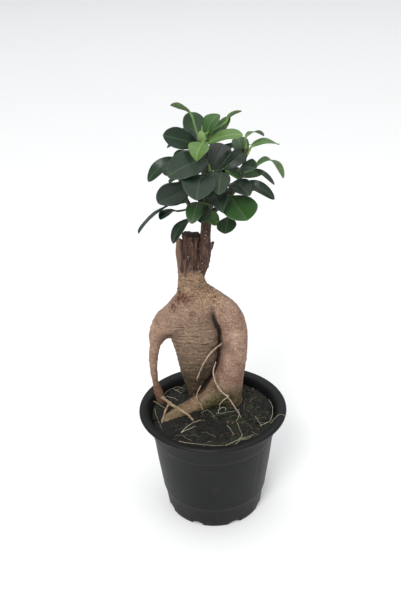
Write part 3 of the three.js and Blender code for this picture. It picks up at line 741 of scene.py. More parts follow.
wrinkles = noisy(skin, (26, 26, 1.5), 2, 3.1) * (0.2 + 0.15 * torso + 0.55 * waist)
old_rings = np.maximum(noisy(skin, (34, 34, 2.6), 1, 9.4), 0) ** 2 * 1.8 * waist
lumps = 0.6 * noisy(skin, 13, 2, 1.7) + 0.24 * noisy(skin, 3.2, 2, 5.9)
angle = np.arctan2(y - 12, x + 13.5) * 9
furrows = noisy(np.column_stack([angle * 0.5, z * 0.06, angle * 0]), 1.2, 2, 2.2) * 0.85
flakes = np.abs(noisy(skin, (3.4, 3.4, 2.2), 2, 7.7)) * 1.5 - 0.35
plain = 1 - np.clip(stub + side_wood, 0, 1)
relief = lumps * (0.4 + 0.6 * plain) + (wrinkles - old_rings) * plain * (1 - 0.6 * neck)
relief += furrows * (stub + 0.5 * side_wood) * (1 - saw_face) + flakes * neck
relief -= 2.0 * crease + 0.8 * fold_shade + 1.0 * split
relief += 0.9 * noisy(skin, 2.2, 2, 3.3) * saw_face
relief += 1.1 * bump_at(skin, PEELED_FLAKE, 2.0) - 0.8 * bump_at(skin, SCAR_PIT, 1.4)
put(trunk, skin + skin_normal * relief[:, None])
print("relief from", round(float(relief.min()), 2), "to", round(float(relief.max()), 2), "mm")

# %% [markdown]
# Thin air roots and a stray stick lie over the trunk. The skin is too coarse for them, so each one
# is a round bar of its own, joined to the trunk. The solid model keeps its roots stout, and here
# they get their real thickness and their small forks. They wander a little, as roots do. Blender's
# vector noise starts from the clock, so it first gets a seed, and every run grows the same roots.

# %% Air roots over the trunk, as chains of x, y, z and radius
open_roots = {
    "stick": [(-46.5, 17.5, 99, 1.8), (-39, 9, 97.4, 1.5), (-30, 0, 96, 1.4), (-21, -8, 94.4, 1.1),
              (-15, -13, 89, 0.8)],
    "stick fork": [(-38, 7, 97, 1.0), (-41, -2, 95, 0.9), (-43.5, -12, 92, 0.8),
                   (-45, -18, 87, 0.7)],
    "hanging": [(9, 9.5, 154.5, 0.7), (1.7, 3.8, 151.7, 0.75), (-2.9, 2.2, 146.6, 0.65),
                (-7, 2.2, 139.3, 0.6), (-9.3, 3.4, 133, 0.6), (-12.3, 6, 123.6, 0.65),
                (-12.6, 9, 119, 0.5)],
    "arm": [(3.6, 8, 137.5, 0.6), (1.3, 3.5, 129.8, 0.65), (2.8, 2, 121.4, 0.75),
            (7.7, 0, 113.2, 0.65), (14.9, -3, 105.6, 0.6), (20.3, -7, 98, 0.5), (24, -8, 90, 0.4)],
    "arm fork": [(2.8, 2, 121.4, 0.6), (5.2, 1, 115.2, 0.55), (10, -1, 110.4, 0.5),
                 (13.5, -3, 109.4, 0.5), (10, -4, 107, 0.45), (6.2, -5, 103, 0.4),
                 (6, -3, 97, 0.35)],
    "leg": [(-9.8, 6, 115.3, 0.4), (-13.3, 2.5, 108.7, 0.5), (-13, 1.4, 103, 0.5),
            (-10.2, 0.4, 98.9, 0.45), (-8.4, -0.6, 94, 0.35)],
}
print("open roots:", len(open_roots))

# %% Side steps and knots
WANDER_SEED = 31
noise.seed_set(WANDER_SEED)


def wander(line, amount, seed):
    """The same root with small side steps between its given points."""
    stepped = smooth_line(line, 3 * len(line))
    for k in range(1, len(stepped) - 1):
        at = Vector((k * 0.9, seed, 0.5))
        stepped[k, :3] += amount * np.array(noise.noise_vector(at))
    return [tuple(row) for row in stepped]


def knots(seed):
    """A rule for a root's thickness, with soft knots that differ from root to root."""
    return lambda t, turn: 1 + 0.12 * math.sin(t * 23 + seed) + 0.06 * np.sin(3 * turn + t * 9)


print("a root of 2 places gets", len(wander([(0, 0, 0, 1), (9, 0, 0, 1)], 0.35, 0)), "points")

# %% Air roots as one piece
roots = Growth("pale", "stick")
for number, (name, line) in enumerate(open_roots.items()):
    stick = name.startswith("stick")
    points, faces = bar(wander(line, 0.35, number), 44, 8, knots(number))
    roots.add(points, faces, pale=float(not stick), stick=float(stick))
air_roots = roots.piece("air_roots")
print("faces of the air roots:", len(roots.faces))

# %% Join the roots to the trunk and note what grows where, and where shade is painted
def join(target, other):
    """Makes one object of two. Where a trait is missing from one of them, it is 0 there."""
    both = [target, other]
    with bpy.context.temp_override(active_object=target, selected_editable_objects=both):
        bpy.ops.object.join()


# This sum is painted shade: the crease, the chest beside the thick arm, the split between the stubs
# and the shadow under the slim arm's shoulder. It is stored as the crease trait.
painted_fold_shade = np.clip(crease + fold_shade * 0.95 + split * 0.9 + armpit_shadow * 0.4, 0, 1)
note_traits(trunk.data, {
    "stub": np.clip(stub + side_wood, 0, 1), "side_wood": side_wood, "saw_face": saw_face,
    "crease": painted_fold_shade, "torso": torso, "low_body": low_body, "neck": neck, "moss": moss,
    "waist": waist, "foot_tan": foot_tan})
join(trunk, air_roots)
print("trunk faces with roots:", len(trunk.data.polygons))

# %% [markdown]
# The bark runs from a pinkish tan on the sunny arm, over a grey-brown chest, to a damp olive foot
# with moss. The stub is dark and dry, with a few pale flecks. The crease, the chest beside the
# thick arm and the underside of the slim arm's shoulder get painted shade, and the raised grain a
# painted highlight. Each of those is a colour laid over the last one by a trait that was worked out
# above, with noise to break up its edge, so no seam shows.

# %% Patterns in the bark
bark = Finish("fig_bark", Specular_IOR_Level=0.3)
on_bark = 1 - bark.trait("stub")
grain = bark.noise(2.2, 5, bark.stretched(1, 1, 3.2))
patches = bark.noise(13, 4)
fine = bark.noise(0.8, 4)
lines = bark.noise(1.0, 3, bark.stretched(0.10, 0.10, 1.0), twist=0.4).fade(0.57, 0.70)
dots = bark.cells(3.2).fade(0.22, 0.08) * bark.noise(7, 2).fade(0.46, 0.58)
crust = bark.noise(2.0, 5, bark.stretched(0.55, 0.55, 1.3), twist=1.0)
cracked = lines * (bark.trait("waist") * 0.55 + bark.trait("neck") * 0.4 + 0.35) * on_bark
pits = fine.fade(0.52, 0.66) * on_bark
print("bark nodes for the patterns:", len(bark.tree.nodes))

# %% Tan limbs, grey-brown chest, dark low body, tanned feet and crusty neck
tan = patches.ramp([
    (0.3, paint(134, 104, 86)), (0.52, paint(166, 134, 115)), (0.72, paint(190, 160, 138))])
tone = (grain.fade(0.38, 0.66) * 0.62).blend(paint(106, 78, 62), tan)
chest = grain.ramp([(0.32, paint(94, 72, 57)), (0.66, paint(164, 138, 115))])
tone = (bark.trait("torso") * 0.85).blend(chest, tone)
low = patches.ramp([(0.3, paint(40, 35, 24)), (0.7, paint(86, 73, 52))])
tone = (bark.trait("low_body") * patches.fade(0.2, 0.5, 0.8, 1.0)).blend(low, tone)
foot_tone = patches.ramp([(0.3, paint(92, 74, 50)), (0.7, paint(146, 120, 90))])
tone = (bark.trait("foot_tan") * grain.fade(0.25, 0.5, 0.5, 0.9)).blend(foot_tone, tone)
neck_tone = crust.ramp([
    (0.34, paint(76, 55, 40)), (0.46, paint(128, 102, 76)), (0.66, paint(170, 145, 114))])
tone = (bark.trait("neck") * grain.fade(0.3, 0.6, 0.5, 0.9)).blend(neck_tone, tone)
print("bark nodes with the ground colours:", len(bark.tree.nodes))

# %% Pits, a painted highlight on the raised grain, cracks and corky dots
tone = (pits * 0.4).blend(paint(84, 60, 46), tone)
# Painted highlight: a pale tan lightens the raised spots of the fine noise, away from the pits.
tone = (fine.fade(0.46, 0.34) * 0.3).blend(paint(206, 180, 158), tone)
tone = cracked.blend(paint(56, 39, 29), tone)
tone = (dots * 0.7 * on_bark).blend(paint(80, 52, 40), tone)
print("bark nodes with the fine marks:", len(bark.tree.nodes))

# %% [markdown]
# A few marks belong to this plant alone: a rusty stain under the side stub, golden flakes on the
# chest, a reddish slim foot, and a round scar. Each is placed by its distance to a spot, and noise
# breaks up its edge. A painted texture could do it too, but it would need a flat unwrapped skin.

# %% Stains and the scar
RUST_SPOTS = [((-26, 4, 203), 9, 1.2), ((-30, 5, 194), 8, 1.0), ((-19, 0, 202), 8, 0.8)]
NECK_GOLD = (1, 3, 197)
SLIM_FOOT = (-47, 15, 104)
SCAR = (-14.5, -2, 190)

rust = sum(bark.near(place, reach_mm) * amount for place, reach_mm, amount in RUST_SPOTS)
rust = (rust * bark.noise(2.4, 4, twist=0.8).fade(0.36, 0.58) * 1.3).at_most(0.85)
tone = rust.blend(paint(78, 38, 22), tone)
gold = (bark.near(NECK_GOLD, 17) * crust.fade(0.5, 0.58) * fine.fade(0.5, 0.42)).at_most(0.8)
tone = gold.blend(paint(206, 180, 132), tone)
reddish = (bark.near(SLIM_FOOT, 20) * patches.fade(0.3, 0.6, 0.4, 0.8)).at_most(0.6)
tone = reddish.blend(paint(104, 66, 48), tone)
scar = bark.near(SCAR, 4.2) * (1 - bark.near(SCAR, 2.4))
tone = (scar * 1.2).at_most(0.7).blend(paint(88, 60, 42), tone)
print("bark nodes with the stains:", len(bark.tree.nodes))

# %% Dark wood of the stub
wood = bark.noise(1.6, 4, bark.stretched(1, 1, 0.12)).ramp(
    [(0.32, paint(30, 20, 16)), (0.5, paint(64, 43, 34)), (0.7, paint(102, 74, 58))])
tone = bark.trait("stub").blend(wood, tone)
strip = grain.ramp([(0.3, paint(88, 64, 50)), (0.7, paint(138, 108, 88))])
tone = (bark.trait("side_wood") * 0.8).blend(strip, tone)
flecks = bark.cells(1.8).fade(0.30, 0.16) * bark.noise(5, 2).fade(0.55, 0.64) * bark.trait("stub")
tone = (flecks * 0.8).blend(paint(214, 196, 176), tone)
tone = bark.trait("saw_face").blend(wood.blend(paint(70, 50, 40), paint(46, 34, 28)), tone)
print("bark nodes with the stub:", len(bark.tree.nodes))

# %% Painted shade in the crease, moss and root colours over the bark
# Painted shade: where the crease trait is high, the bark is darkened to near-black brown.
tone = (bark.trait("crease") * 0.92).blend(paint(26, 19, 13), tone)
green = (bark.trait("moss") * bark.noise(4, 5).fade(0.30, 0.55, 0.35, 1.0)).at_most(0.9)
moss_tone = bark.noise(1.4, 3).ramp([(0.35, paint(46, 48, 26)), (0.65, paint(92, 92, 54))])
tone = green.blend(moss_tone, tone)
pale_tone = grain.ramp([(0.3, paint(134, 108, 88)), (0.7, paint(206, 188, 164))])
tone = bark.trait("pale").blend(pale_tone, tone)
stick_tone = grain.ramp([(0.3, paint(112, 92, 70)), (0.7, paint(178, 158, 128))])
bark.colour(bark.trait("stick").blend(stick_tone, tone))
bark.roughness(0.62 + grain * 0.22 - bark.trait("crease") * 0.1)
upright = bark.noise(1.1, 3, bark.stretched(1, 1, 0.15)) * bark.trait("stub")
crusty = crust * bark.trait("neck") * 1.5
bark.relief(grain * 0.7 - pits * 0.5 + crusty - cracked - dots * 0.3 + upright, 0.6, 0.9)
settle_in(trunk, "root_trunk", bark.material)

# %% [markdown]
# ## The grafted stem
#
# A stem of a broad-leaved fig was grafted beside the stub and carries the whole crown. Its bark
# is dark red-brown with pale breathing pores, and a short dry spur is left of a side twig. The same
# skin method is used. The skin starts from a copy of the solid stem, as this one has no soft joins.

# %% Stem chains and its distance rule
stem_line = [(-9, 11, 217, 4.5), (-5, 9.4, 230, 5.1), (-3.2, 8, 241, 5.2), (-2.8, 7, 251, 4.1),
             (-1.8, 6, 263, 3.9), (-0.5, 5, 280, 3.2), (-1.5, 3, 298, 2.4)]
spur_line = [(-2, 8, 239, 2.4), (1.5, 7, 244, 1.8), (3.6, 6, 249, 1)]


def stem_distance(points):
    """Below zero inside the stem or its spur."""
    return soft_min(to_chain(points, stem_line, 14), to_chain(points, spur_line, 6), 1.2)


stem_middle = np.array([[-3.2, 8, 241]])
print("the stem is", round(-float(stem_distance(stem_middle)[0]), 1), "mm deep at its middle")

# %% Stem skin, with ridges, knobs and rings
STEM_GRAIN = 0.45
STEM_REACH = 0.5
RING_SPACING = 11

stem = bpy.data.objects.new("graft_stem_skin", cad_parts["graft_stem"].data.copy())
bpy.context.scene.collection.objects.link(stem)
fine_skin(stem, STEM_GRAIN, stem_distance, STEM_REACH)
stem_skin, stem_normal = arrays(stem)
sx, sy, sz = stem_skin.T
stem_turn = np.arctan2(sy - 8, sx + 3) * 5
ridges = noisy(np.column_stack([stem_turn, sz * 0.18, stem_turn * 0]), 1.5, 2, 4.4) * 0.55
knobs = 0.35 * noisy(stem_skin, 3.0, 2, 6.1)
ring = -0.35 * np.exp(-((sz % RING_SPACING - 5) / 0.7) ** 2) * step_up(sz, 255, 265)
stem_relief = (ridges + knobs) * (1 - 0.6 * step_up(sz, 256, 280)) + ring
put(stem, stem_skin + stem_normal * stem_relief[:, None])
print("stem points:", len(stem_skin))

# %% Stem bark finish
stem_bark = Finish("stem_bark", Specular_IOR_Level=0.3)
fibre = stem_bark.noise(1.2, 5, stem_bark.stretched(1, 1, 0.25))
blotch = stem_bark.noise(6, 4)
red_brown = fibre.ramp([
    (0.3, paint(32, 21, 17)), (0.5, paint(68, 45, 37)), (0.72, paint(110, 80, 66))])
red_brown = (blotch.fade(0.45, 0.65) * 0.5).blend(paint(60, 40, 42), red_brown)
pores = stem_bark.cells(2.0).fade(0.25, 0.12) * stem_bark.noise(6, 2).fade(0.5, 0.6)
green_top = stem_bark.height().fade(0.256, 0.272)
red_brown = (green_top * 0.85).blend(paint(36, 34, 22), red_brown)
stem_bark.colour((pores * 0.85).blend(paint(212, 186, 160), red_brown))
stem_bark.roughness(0.58 + fibre * 0.25)
stem_bark.relief(fibre + blotch * 0.5 + pores * 0.6, 0.45, 0.8)
settle_in(stem, "graft_stem", stem_bark.material)

# %% [markdown]
# ## The leaves
#
# A fig leaf is an oval blade, folded a little along its midrib, waxy above and paler below, with a
# thin clear edge. The solid model holds each leaf as a folded strip. Here the same rule is
# sampled far more finely, and the margin is given a slight wave. A leaf is described by where its
# blade starts, where it heads, its pitch, length and width, how its upper side tilts, how far
# its tip droops, and last its tone from near-black green, 0, to yellow-green, 1.
#
# The leaves that the picture shows have rows of their own, which are the solid model's rows. Those
# at the back are hidden, so they are spread by a rule, with small seeded draws. Two leaves haven't
# opened to full roundness yet and keep a pointed outline.

# %% Leaves: x, y, z, heading, pitch, length, width, tilt, droop, tone
leaves = {
    "shoot_top": [
        (-5, 5, 329, 102, 31, 29, 20, -31, -2.5, 0.34),
        (-7, 1, 329.5, -152, 22, 29, 16, 58, 0.5, 0.16),
        (-6, 4, 329, 140, 12, 25, 15, 30, 2, 0.12), (0, -8, 319.4, -138, -1, 36, 23, 42, 4, 0.16),
        (1, 0, 308, 64, 24, 34, 18, 50, 2, 0.12), (7, -3, 310, 55, 22, 25, 9, 60, 2, 0.14),
        (-11, 8, 350.5, 161, 21, 16, 9, -41, 1, 0.50),
    ],
    "shoot_left": [
        (-21, -4, 320, -159, -23, 27, 11, 41, 5.5, 0.20),
        (-11, -8, 302, -149, -17, 31, 22, 28, -0.5, 0.12),
        (-27, -2, 285, -135, -17, 38, 13, -36, 2, 0.10),
        (-23, 0, 278, -133, 3, 19, 12, -10, 2, 0.16),
        (-13, -6, 274, -127, -21, 26, 11, -9, 3, 0.14),
        (-17, -3, 326, -128, -14, 11, 6, 45, 0.5, 0.44),
        (-13, 2, 308, -172, 8, 20, 13, 40, 3, 0.10),
    ],
    "shoot_front": [
        (-4, -15, 311, -98, -8, 31, 25, 40, 4, 0.14), (10, -14, 312, -96, -12, 25, 15, 45, 3, 0.20),
        (3, -12, 297, -74, -12, 25, 19, 35, 3, 0.12),
        (-7, -12, 289, -104, -14, 23, 13, 30, 3, 0.36),
        (8, -8, 270, -148, 42, 16, 11, 45, 1, 0.70), (-2, -7, 284, -100, -15, 21, 12, 21, 0, 0.30),
    ],
    "shoot_right": [
        (16, -6, 291, -67, -16, 31, 27, 25, 0.5, 0.46),
        (16, -2, 273, -101, -13, 23, 15, -11, -0.5, 0.34),
        (27, 2, 315, 97, 34, 25, 13, 40, 2, 0.44), (29, 8, 331, 47, -1, 21, 8, -18, 3, 0.70),
        (33, 4, 325, 33, -2, 26, 13, 5, 2, 0.74), (35, 0, 310, 37, -12, 32, 11, 0, 8, 0.66),
        (14, -6, 310.5, 43, -17, 39, 8, -113, 2, 0.30), (23, -4, 310, -62, 22, 24, 14, 40, 2, 0.16),
        (26, -4, 300, -22, -16, 26, 9, 48, 6, 0.10), (31, 0, 291, 41, -16, 21, 8, -28, 3, 0.20),
        (17, -8, 301, -63, 4, 26, 15, 35, 3, 0.06), (13, -2, 311, 20, 34, 21, 12, 62, 2, 0.12),
        (36, 6, 307, -27, -27, 18, 4, 55, 5, 0.14),
    ],
    "young_tip": [
        (1, 2, 335.5, 26, 62, 17, 15, 8, 2.5, 0.54), (4, 4, 331.5, 44, 34, 23, 10, 12, -0.5, 0.52),
        (1, -4, 331, -3, 17, 26, 15, 16, 2, 0.80),
        (-2.5, -15.5, 335, -126, -44, 14, 19, 5, 2, 0.80),
        (-2, -4, 331, -128, 65, 10, 7, -13, -2, 0.90), (0, -1, 330, 59, 38, 11, 4, 66, -2.5, 0.92),
        (15, 11, 342.5, 31, 31, 14, 4, -60, 2.5, 0.60),
    ],
}
print("leaves with a place of their own:", sum(len(group) for group in leaves.values()))

# %% Twigs, as chains of x, y, z and radius
twigs = {
    "shoot_top": [(-1.4, 3, 292, 2), (-2.4, 1, 308, 1.9), (-3, -1, 322, 1.7), (-3, -3, 331, 1.3)],
    "shoot_left": [(-1, 5, 266, 1.9), (-10, 1, 276, 1.8), (-17, -2, 290, 1.6), (-20, -4, 304, 1.5),
                   (-20, -4, 317, 1.2)],
    "shoot_right": [(0, 5, 272, 2.1), (12, 2, 283, 1.9), (22, 1, 296, 1.7), (27, 2, 310, 1.5),
                    (29, 4, 324, 1.2)],
    "shoot_front": [(-1, 4, 270, 1.9), (1, -4, 282, 1.7), (4, -9, 298, 1.5), (2, -9, 312, 1.2)],
    "shoot_back": [(-1, 6, 268, 1.9), (2, 15, 281, 1.8), (1, 22, 296, 1.6), (-3, 24, 311, 1.2)],
    "young_tip": [(-3, -3, 331.6, 1.3), (-3, -3, 338, 1.2)],
}
print("twigs:", len(twigs))

# %% Leaves at the back, spaced by the golden angle
GOLDEN_ANGLE = 2.4
BACK_LEAVES = 13


def seeded_draws(seed):
    """A small generator of repeatable draws, the same one that the solid model uses."""
    state = [seed]

    def draw(low, high):
        state[0] = (state[0] * 1664525 + 1013904223) % 4294967296
        return low + (high - low) * state[0] / 4294967296

    return draw


def back_leaves():
    """Rows for the hidden leaves, which fan out round the way to the back."""
    draw = seeded_draws(7)
    grown = []
    for i in range(BACK_LEAVES):
        heading = 90 + 62 * math.sin(i * GOLDEN_ANGLE) + draw(-8, 8)
        reach = 5 + draw(0, 3)
        px = 1 + reach * math.cos(math.radians(heading))
        py = min(22, 12 + i) + reach * math.sin(math.radians(heading))
        shape = [draw(-18, 16), draw(27, 35), draw(14, 19), draw(-25, -5), draw(2, 5)]
        grown.append((px, py, 270 + i * 4.2, heading, *shape, 0.10 + 0.05 * (i % 5)))
    return grown


leaves["shoot_back"] = back_leaves()
print("leaves at the back:", len(leaves["shoot_back"]))

# %% The leaf's own directions and its outline
STALK_RADIUS = 1
LEAF_FOLD = 0.22
STATIONS = 30
COLUMNS = 14
POINTED_LEAVES = {("young_tip", 3), ("shoot_front", 2)}


def leaf_axes(leaf):
    """The ways that the leaf points, faces and spreads."""
    heading, pitch, tilt = (math.radians(leaf[k]) for k in (3, 4, 7))
    run = math.cos(pitch)
    along = np.array((run * math.cos(heading), run * math.sin(heading), math.sin(pitch)))
    up = np.array((0, -math.sin(tilt), math.cos(tilt)))
    face = up - along * up.dot(along)
    face /= np.linalg.norm(face)
    return along, face, np.cross(face, along)


def midrib(leaf, t):
    """Places on the midrib: it rises a little from the stalk and then bends to the tip."""
    along, face, _ = leaf_axes(leaf)
    t = np.atleast_1d(np.asarray(t, float))[:, None]
    return np.array(leaf[:3]) + along * leaf[5] * t + face * leaf[8] * (4 * t * (1 - t) - t * t)


def half_width(t, width, pointed=False):
    """An open leaf is broadest past its middle. A pointed one narrows evenly to its tip."""
    oval = 2.66 * t ** 0.9 * np.maximum(1 - t, 0) ** 0.57
    if pointed:
        oval = 2.35 * t ** 0.62 * np.maximum(1 - t, 0) ** 0.85
    return STALK_RADIUS * 0.8 * (1 - t) + (width / 2 - STALK_RADIUS * 0.4) * oval


print("broadest place of a 20 mm leaf:", round(float(half_width(np.array(0.61), 20)) * 2, 1), "mm")

# %% Faces of a blade
def blade_faces():
    """Faces of both sides, and of the thin rim that closes them."""
    wide = COLUMNS + 1
    below = (STATIONS + 1) * wide
    faces = []
    for i in range(STATIONS):
        for j in range(COLUMNS):
            a = i * wide + j
            faces.append((a, a + wide, a + wide + 1, a + 1))
            faces.append((below + a, below + a + 1, below + a + wide + 1, below + a + wide))
        left, right = i * wide, i * wide + COLUMNS
        faces.append((left, below + left, below + left + wide, left + wide))
        faces.append((right, right + wide, below + right + wide, below + right))
    end = STATIONS * wide
    for j in range(COLUMNS):
        faces.append((j, j + 1, below + j + 1, below + j))
        faces.append((end + j, below + end + j, below + end + j + 1, end + j + 1))
    return faces


print("faces of one blade:", len(blade_faces()))

# %% One blade, upper and lower side
def blade(leaf, number, pointed):
    """A closed thin blade with its midrib channel, and where each point lies on the leaf."""
    _, face, side = leaf_axes(leaf)
    t = 0.5 - 0.5 * np.cos(np.linspace(0, math.pi, STATIONS + 1))
    a = np.linspace(-1, 1, COLUMNS + 1)
    T, A = np.meshgrid(t, a, indexing="ij")
    half = half_width(T, leaf[6], pointed)
    spine = midrib(leaf, t)[:, None, :]
    phase = number * 2.1
    fold = LEAF_FOLD * half * np.abs(A) ** 1.25
    ripple = 0.055 * half * A * A * np.sin(9 * T + phase + 1.3 * A)
    cup = 0.05 * half * np.sin(phase) * (A * A - 0.4)
    channel = -0.35 * np.exp(-(A * half / 0.55) ** 2) * (1 - T)
    middle = spine + side * (half * A)[..., None] + face * (fold + ripple + cup)[..., None]
    thick = 0.26 - 0.10 * np.abs(A)
    upper = middle + face * (thick + channel)[..., None]
    lower = middle - face * (thick + 0.45 * np.exp(-(A * half / 0.5) ** 2) * (1 - T))[..., None]
    points = np.vstack([upper.reshape(-1, 3), lower.reshape(-1, 3)])
    where = {"along": np.tile(T.ravel(), 2), "across": np.tile(np.abs(A).ravel(), 2),
             "reach": np.tile((np.abs(A) * half).ravel(), 2),
             "under": np.repeat([0.0, 1.0], T.size)}
    return points, blade_faces(), where


print("points of one blade:", len(blade(leaves["shoot_top"][0], 0, False)[0]))

# %% Stalks and twigs
def stalk_root(twig, base):
    """The place on the twig where a leaf's stalk starts, a little below the blade."""
    line = smooth_line(twig, 30)[:27, :3]
    lower = np.array(base) - (0, 0, 4)
    return line[np.argmin(np.linalg.norm(line - lower, axis=1))]


def stalk(leaf, twig):
    """A sagging stalk from the twig that runs on a little way under the blade."""
    root = stalk_root(twig, leaf[:3])
    start = midrib(leaf, 0.0)[0]
    into = midrib(leaf, 4 / leaf[5])[0]
    sag = np.array((0, 0, -0.4))
    line = [(*root, 1.0), (*((root + start) / 2 + sag), 0.8), (*start, 0.85), (*into, 0.5)]
    return bar(line, 14, 8)


def bud(twig):
    """The rolled pointed sheath that closes the end of a fig twig."""
    tip, before = np.array(twig[-1][:3]), np.array(twig[-2][:3])
    run = (tip - before) / np.linalg.norm(tip - before)
    sizes = [(-1, 1.0), (1, 1.15), (3.5, 0.85), (6, 0.25)]
    return bar([(*(tip + run * far), r) for far, r in sizes], 12, 8)


def leaf_joints(t, turn):
    """A twig swells at each place where a leaf stood."""
    return 1 + 0.12 * math.exp(-((t * 5 % 1 - 0.5) / 0.12) ** 2) + 0.03 * np.sin(3 * turn)


print("a bud has", len(bud(twigs["shoot_top"])[0]), "points")

# %% One shoot
YOUNG_STALKS = [(-3, -3, 334.6), (-3, -3, 337)]
CLEAR_OF_RIB = 2.0


def shoot(name):
    """The leaves, their stalks, their twig and its bud, grown together."""
    grown = Growth("along", "across", "reach", "under", "tone", "wood", "seed")
    young = name == "young_tip"
    twig = YOUNG_STALKS if young else [p[:3] for p in twigs[name]]
    for number, leaf in enumerate(leaves[name]):
        points, faces, where = blade(leaf, number + len(name), (name, number) in POINTED_LEAVES)
        grown.add(points, faces, tone=leaf[9], seed=number * 0.37, **where)
        green = min(leaf[9] + 0.35, 1)
        grown.add(*stalk(leaf, twig), tone=green, across=0.5, along=0.1, reach=CLEAR_OF_RIB)
    tone, wood = (0.8, 0.1) if young else (0.4, 0.8)
    grown.add(*bar(twigs[name], 40, 14, leaf_joints), tone=tone, wood=wood, reach=CLEAR_OF_RIB)
    grown.add(*bud(twigs[name]), tone=0.95, across=0.5, reach=CLEAR_OF_RIB)
    return grown


print("points in the top shoot:", len(shoot("shoot_top").points))

# %% [markdown]
# Old leaves are a deep blue-green and so glossy that they reflect the sky as grey. Young ones are
# yellow-green and more matt. The tone number of each leaf picks its colour from one ramp. Side
# veins leave the midrib at a slant and fade towards the edge, which a wave of the two leaf
# coordinates draws without any picture. The underside is paler, and the edge is a thin clear line.

# %% Leaf finish
FULL_TURN = 2 * math.pi
VEINS_PER_SIDE = 17


def leaf_finish(name, gloss):
    """Green by the leaf's tone, with veins, a pale midrib, a clear rim and a dull underside."""
    leaf = Finish(name, Specular_IOR_Level=0.36)
    along, across, reach = leaf.trait("along"), leaf.trait("across"), leaf.trait("reach")
    mottle = leaf.noise(5, 4)
    speckle = leaf.noise(1.1, 3)
    depth = leaf.trait("tone") + mottle * 0.10 - 0.05 + along * 0.05 - 0.02
    tone = depth.ramp([
        (0.0, paint(15, 25, 19)), (0.14, paint(21, 37, 26)), (0.32, paint(30, 54, 29)),
        (0.50, paint(42, 76, 30)), (0.75, paint(70, 102, 48)), (1.0, paint(106, 134, 70))])
    slant = (along * VEINS_PER_SIDE - across * 3.2 + leaf.trait("seed")) * FULL_TURN
    veins = slant.wave().fade(0.86, 1.0) * across.fade(0.95, 0.5) * across.fade(0.02, 0.10)
    net = leaf.cells(1.6, feature="DISTANCE_TO_EDGE").fade(0.10, 0.0)
    rib = reach.fade(0.75, 0.30)
    rim = across.fade(0.955, 0.99)
    pale = depth.ramp([
        (0.0, paint(46, 64, 46)), (0.5, paint(88, 118, 62)), (1.0, paint(160, 182, 112))])
    tone = (veins * 0.12 + net * 0.06).at_most(0.5).blend(pale, tone)
    tone = (rib * 0.4).blend(pale, tone)
    tone = (speckle.fade(0.62, 0.78) * 0.12).blend(paint(70, 60, 36), tone)
    below = depth.ramp([
        (0.0, paint(40, 56, 40)), (0.4, paint(58, 82, 48)), (1.0, paint(118, 146, 84))])
    tone = leaf.trait("under").blend(below, tone)
    tone = (rim * 0.35).blend(pale, tone)
    woody = speckle.ramp([(0.35, paint(44, 40, 26)), (0.65, paint(78, 74, 48))])
    leaf.colour(leaf.trait("wood").blend(woody, tone))
    leaf.roughness(gloss + mottle * 0.12 + leaf.trait("under") * 0.22 + leaf.trait("wood") * 0.3)
    leaf.relief(mottle * 0.6 - veins * 0.3 - rib * 0.6 + net * 0.15 + speckle * 0.08, 0.35, 0.55)
    return leaf.material


mature = leaf_finish("leaf_mature", 0.27)
young = leaf_finish("leaf_young", 0.36)
print("leaf finishes:", mature.name, young.name)

# %% Grow every shoot
for name in leaves:
    piece = shoot(name).piece(name + "_leaves")
    tender = name == "young_tip"
    settle_in(piece, name, young if tender else mature)

# %% [markdown]
# ## The soil
#
# Wet peat is nearly black and breaks into crumbs, with bits of bark, a film of moss near the roots
# and thread-like rootlets that the last watering washed bare. The top is a fine round sheet whose
# height follows the solid model's mound, with clods added by noise. Crumbs, moss and rootlets are
# small meshes of their own, joined to it.

# %% Height of the soil
SOIL_EDGE = 90


def level(points):
    """The same points at height 0, so that a noise over them doesn't change with height."""
    return np.column_stack([points[:, :2], np.zeros(len(points))])


def soil_height(x, y):
    """The mound of the solid model, with its broad clods."""
    out = np.hypot(x, y) / RIM_RADIUS
    clods = np.sin(x * 0.31 + 1) * np.cos(y * 0.27) + 0.7 * np.sin(x * 0.17 - y * 0.41 + 2)
    return SOIL_EDGE + 2 * (1 - out * out) + 0.7 * clods


def soil_top(points):
    """The same mound with small clods and crumbs on it."""
    flat = level(points)
    rough = 1.1 * noisy(flat, 6.5, 2, 2.5) + 0.9 * np.abs(noisy(flat, 2.6, 2, 8.5)) - 0.3
    return soil_height(points[:, 0], points[:, 1]) + rough


print("soil height at the middle:", round(float(soil_height(0, 0)), 1), "mm")

# %% Soil surface
SOIL_RADIUS = 52.7
SOIL_BOTTOM = 6.2
RINGS, SIDES = 70, 300

turn = np.arange(SIDES) / SIDES * 2 * math.pi
ring_radius = np.linspace(0.4, SOIL_RADIUS, RINGS)
across_x = np.outer(ring_radius, np.cos(turn)).ravel()
across_y = np.outer(ring_radius, np.sin(turn)).ravel()
flat = np.column_stack([across_x, across_y])
top = np.column_stack([flat, soil_top(flat)])
wall_rings = [np.column_stack([r * np.cos(turn), r * np.sin(turn), np.full(SIDES, height)])
              for r, height in ((42.0, SOIL_BOTTOM), (43.0, 12.0), (wall_radius(50) - 2.4, 50.0))]
ends = np.array([(0, 0, SOIL_BOTTOM), (0, 0, soil_height(0, 0))])
print("soil surface points:", len(top))

# %% Close the soil into one body
def soil_body():
    """Rings from the bottom up the side, over the edge and in to the middle."""
    rows = wall_rings + [top[k * SIDES:(k + 1) * SIDES] for k in range(RINGS - 1, -1, -1)]
    return np.vstack(rows + [ends]), tube_faces(len(rows) - 1, SIDES)


def moss_patches(points):
    """Broad patches, seen from above, where the soil stays damp and moss can grow."""
    return noisy(level(points), 15, 2, 4.2)


MOSS_HEART = (12, -4, 91)
MOSS_REACH = 24

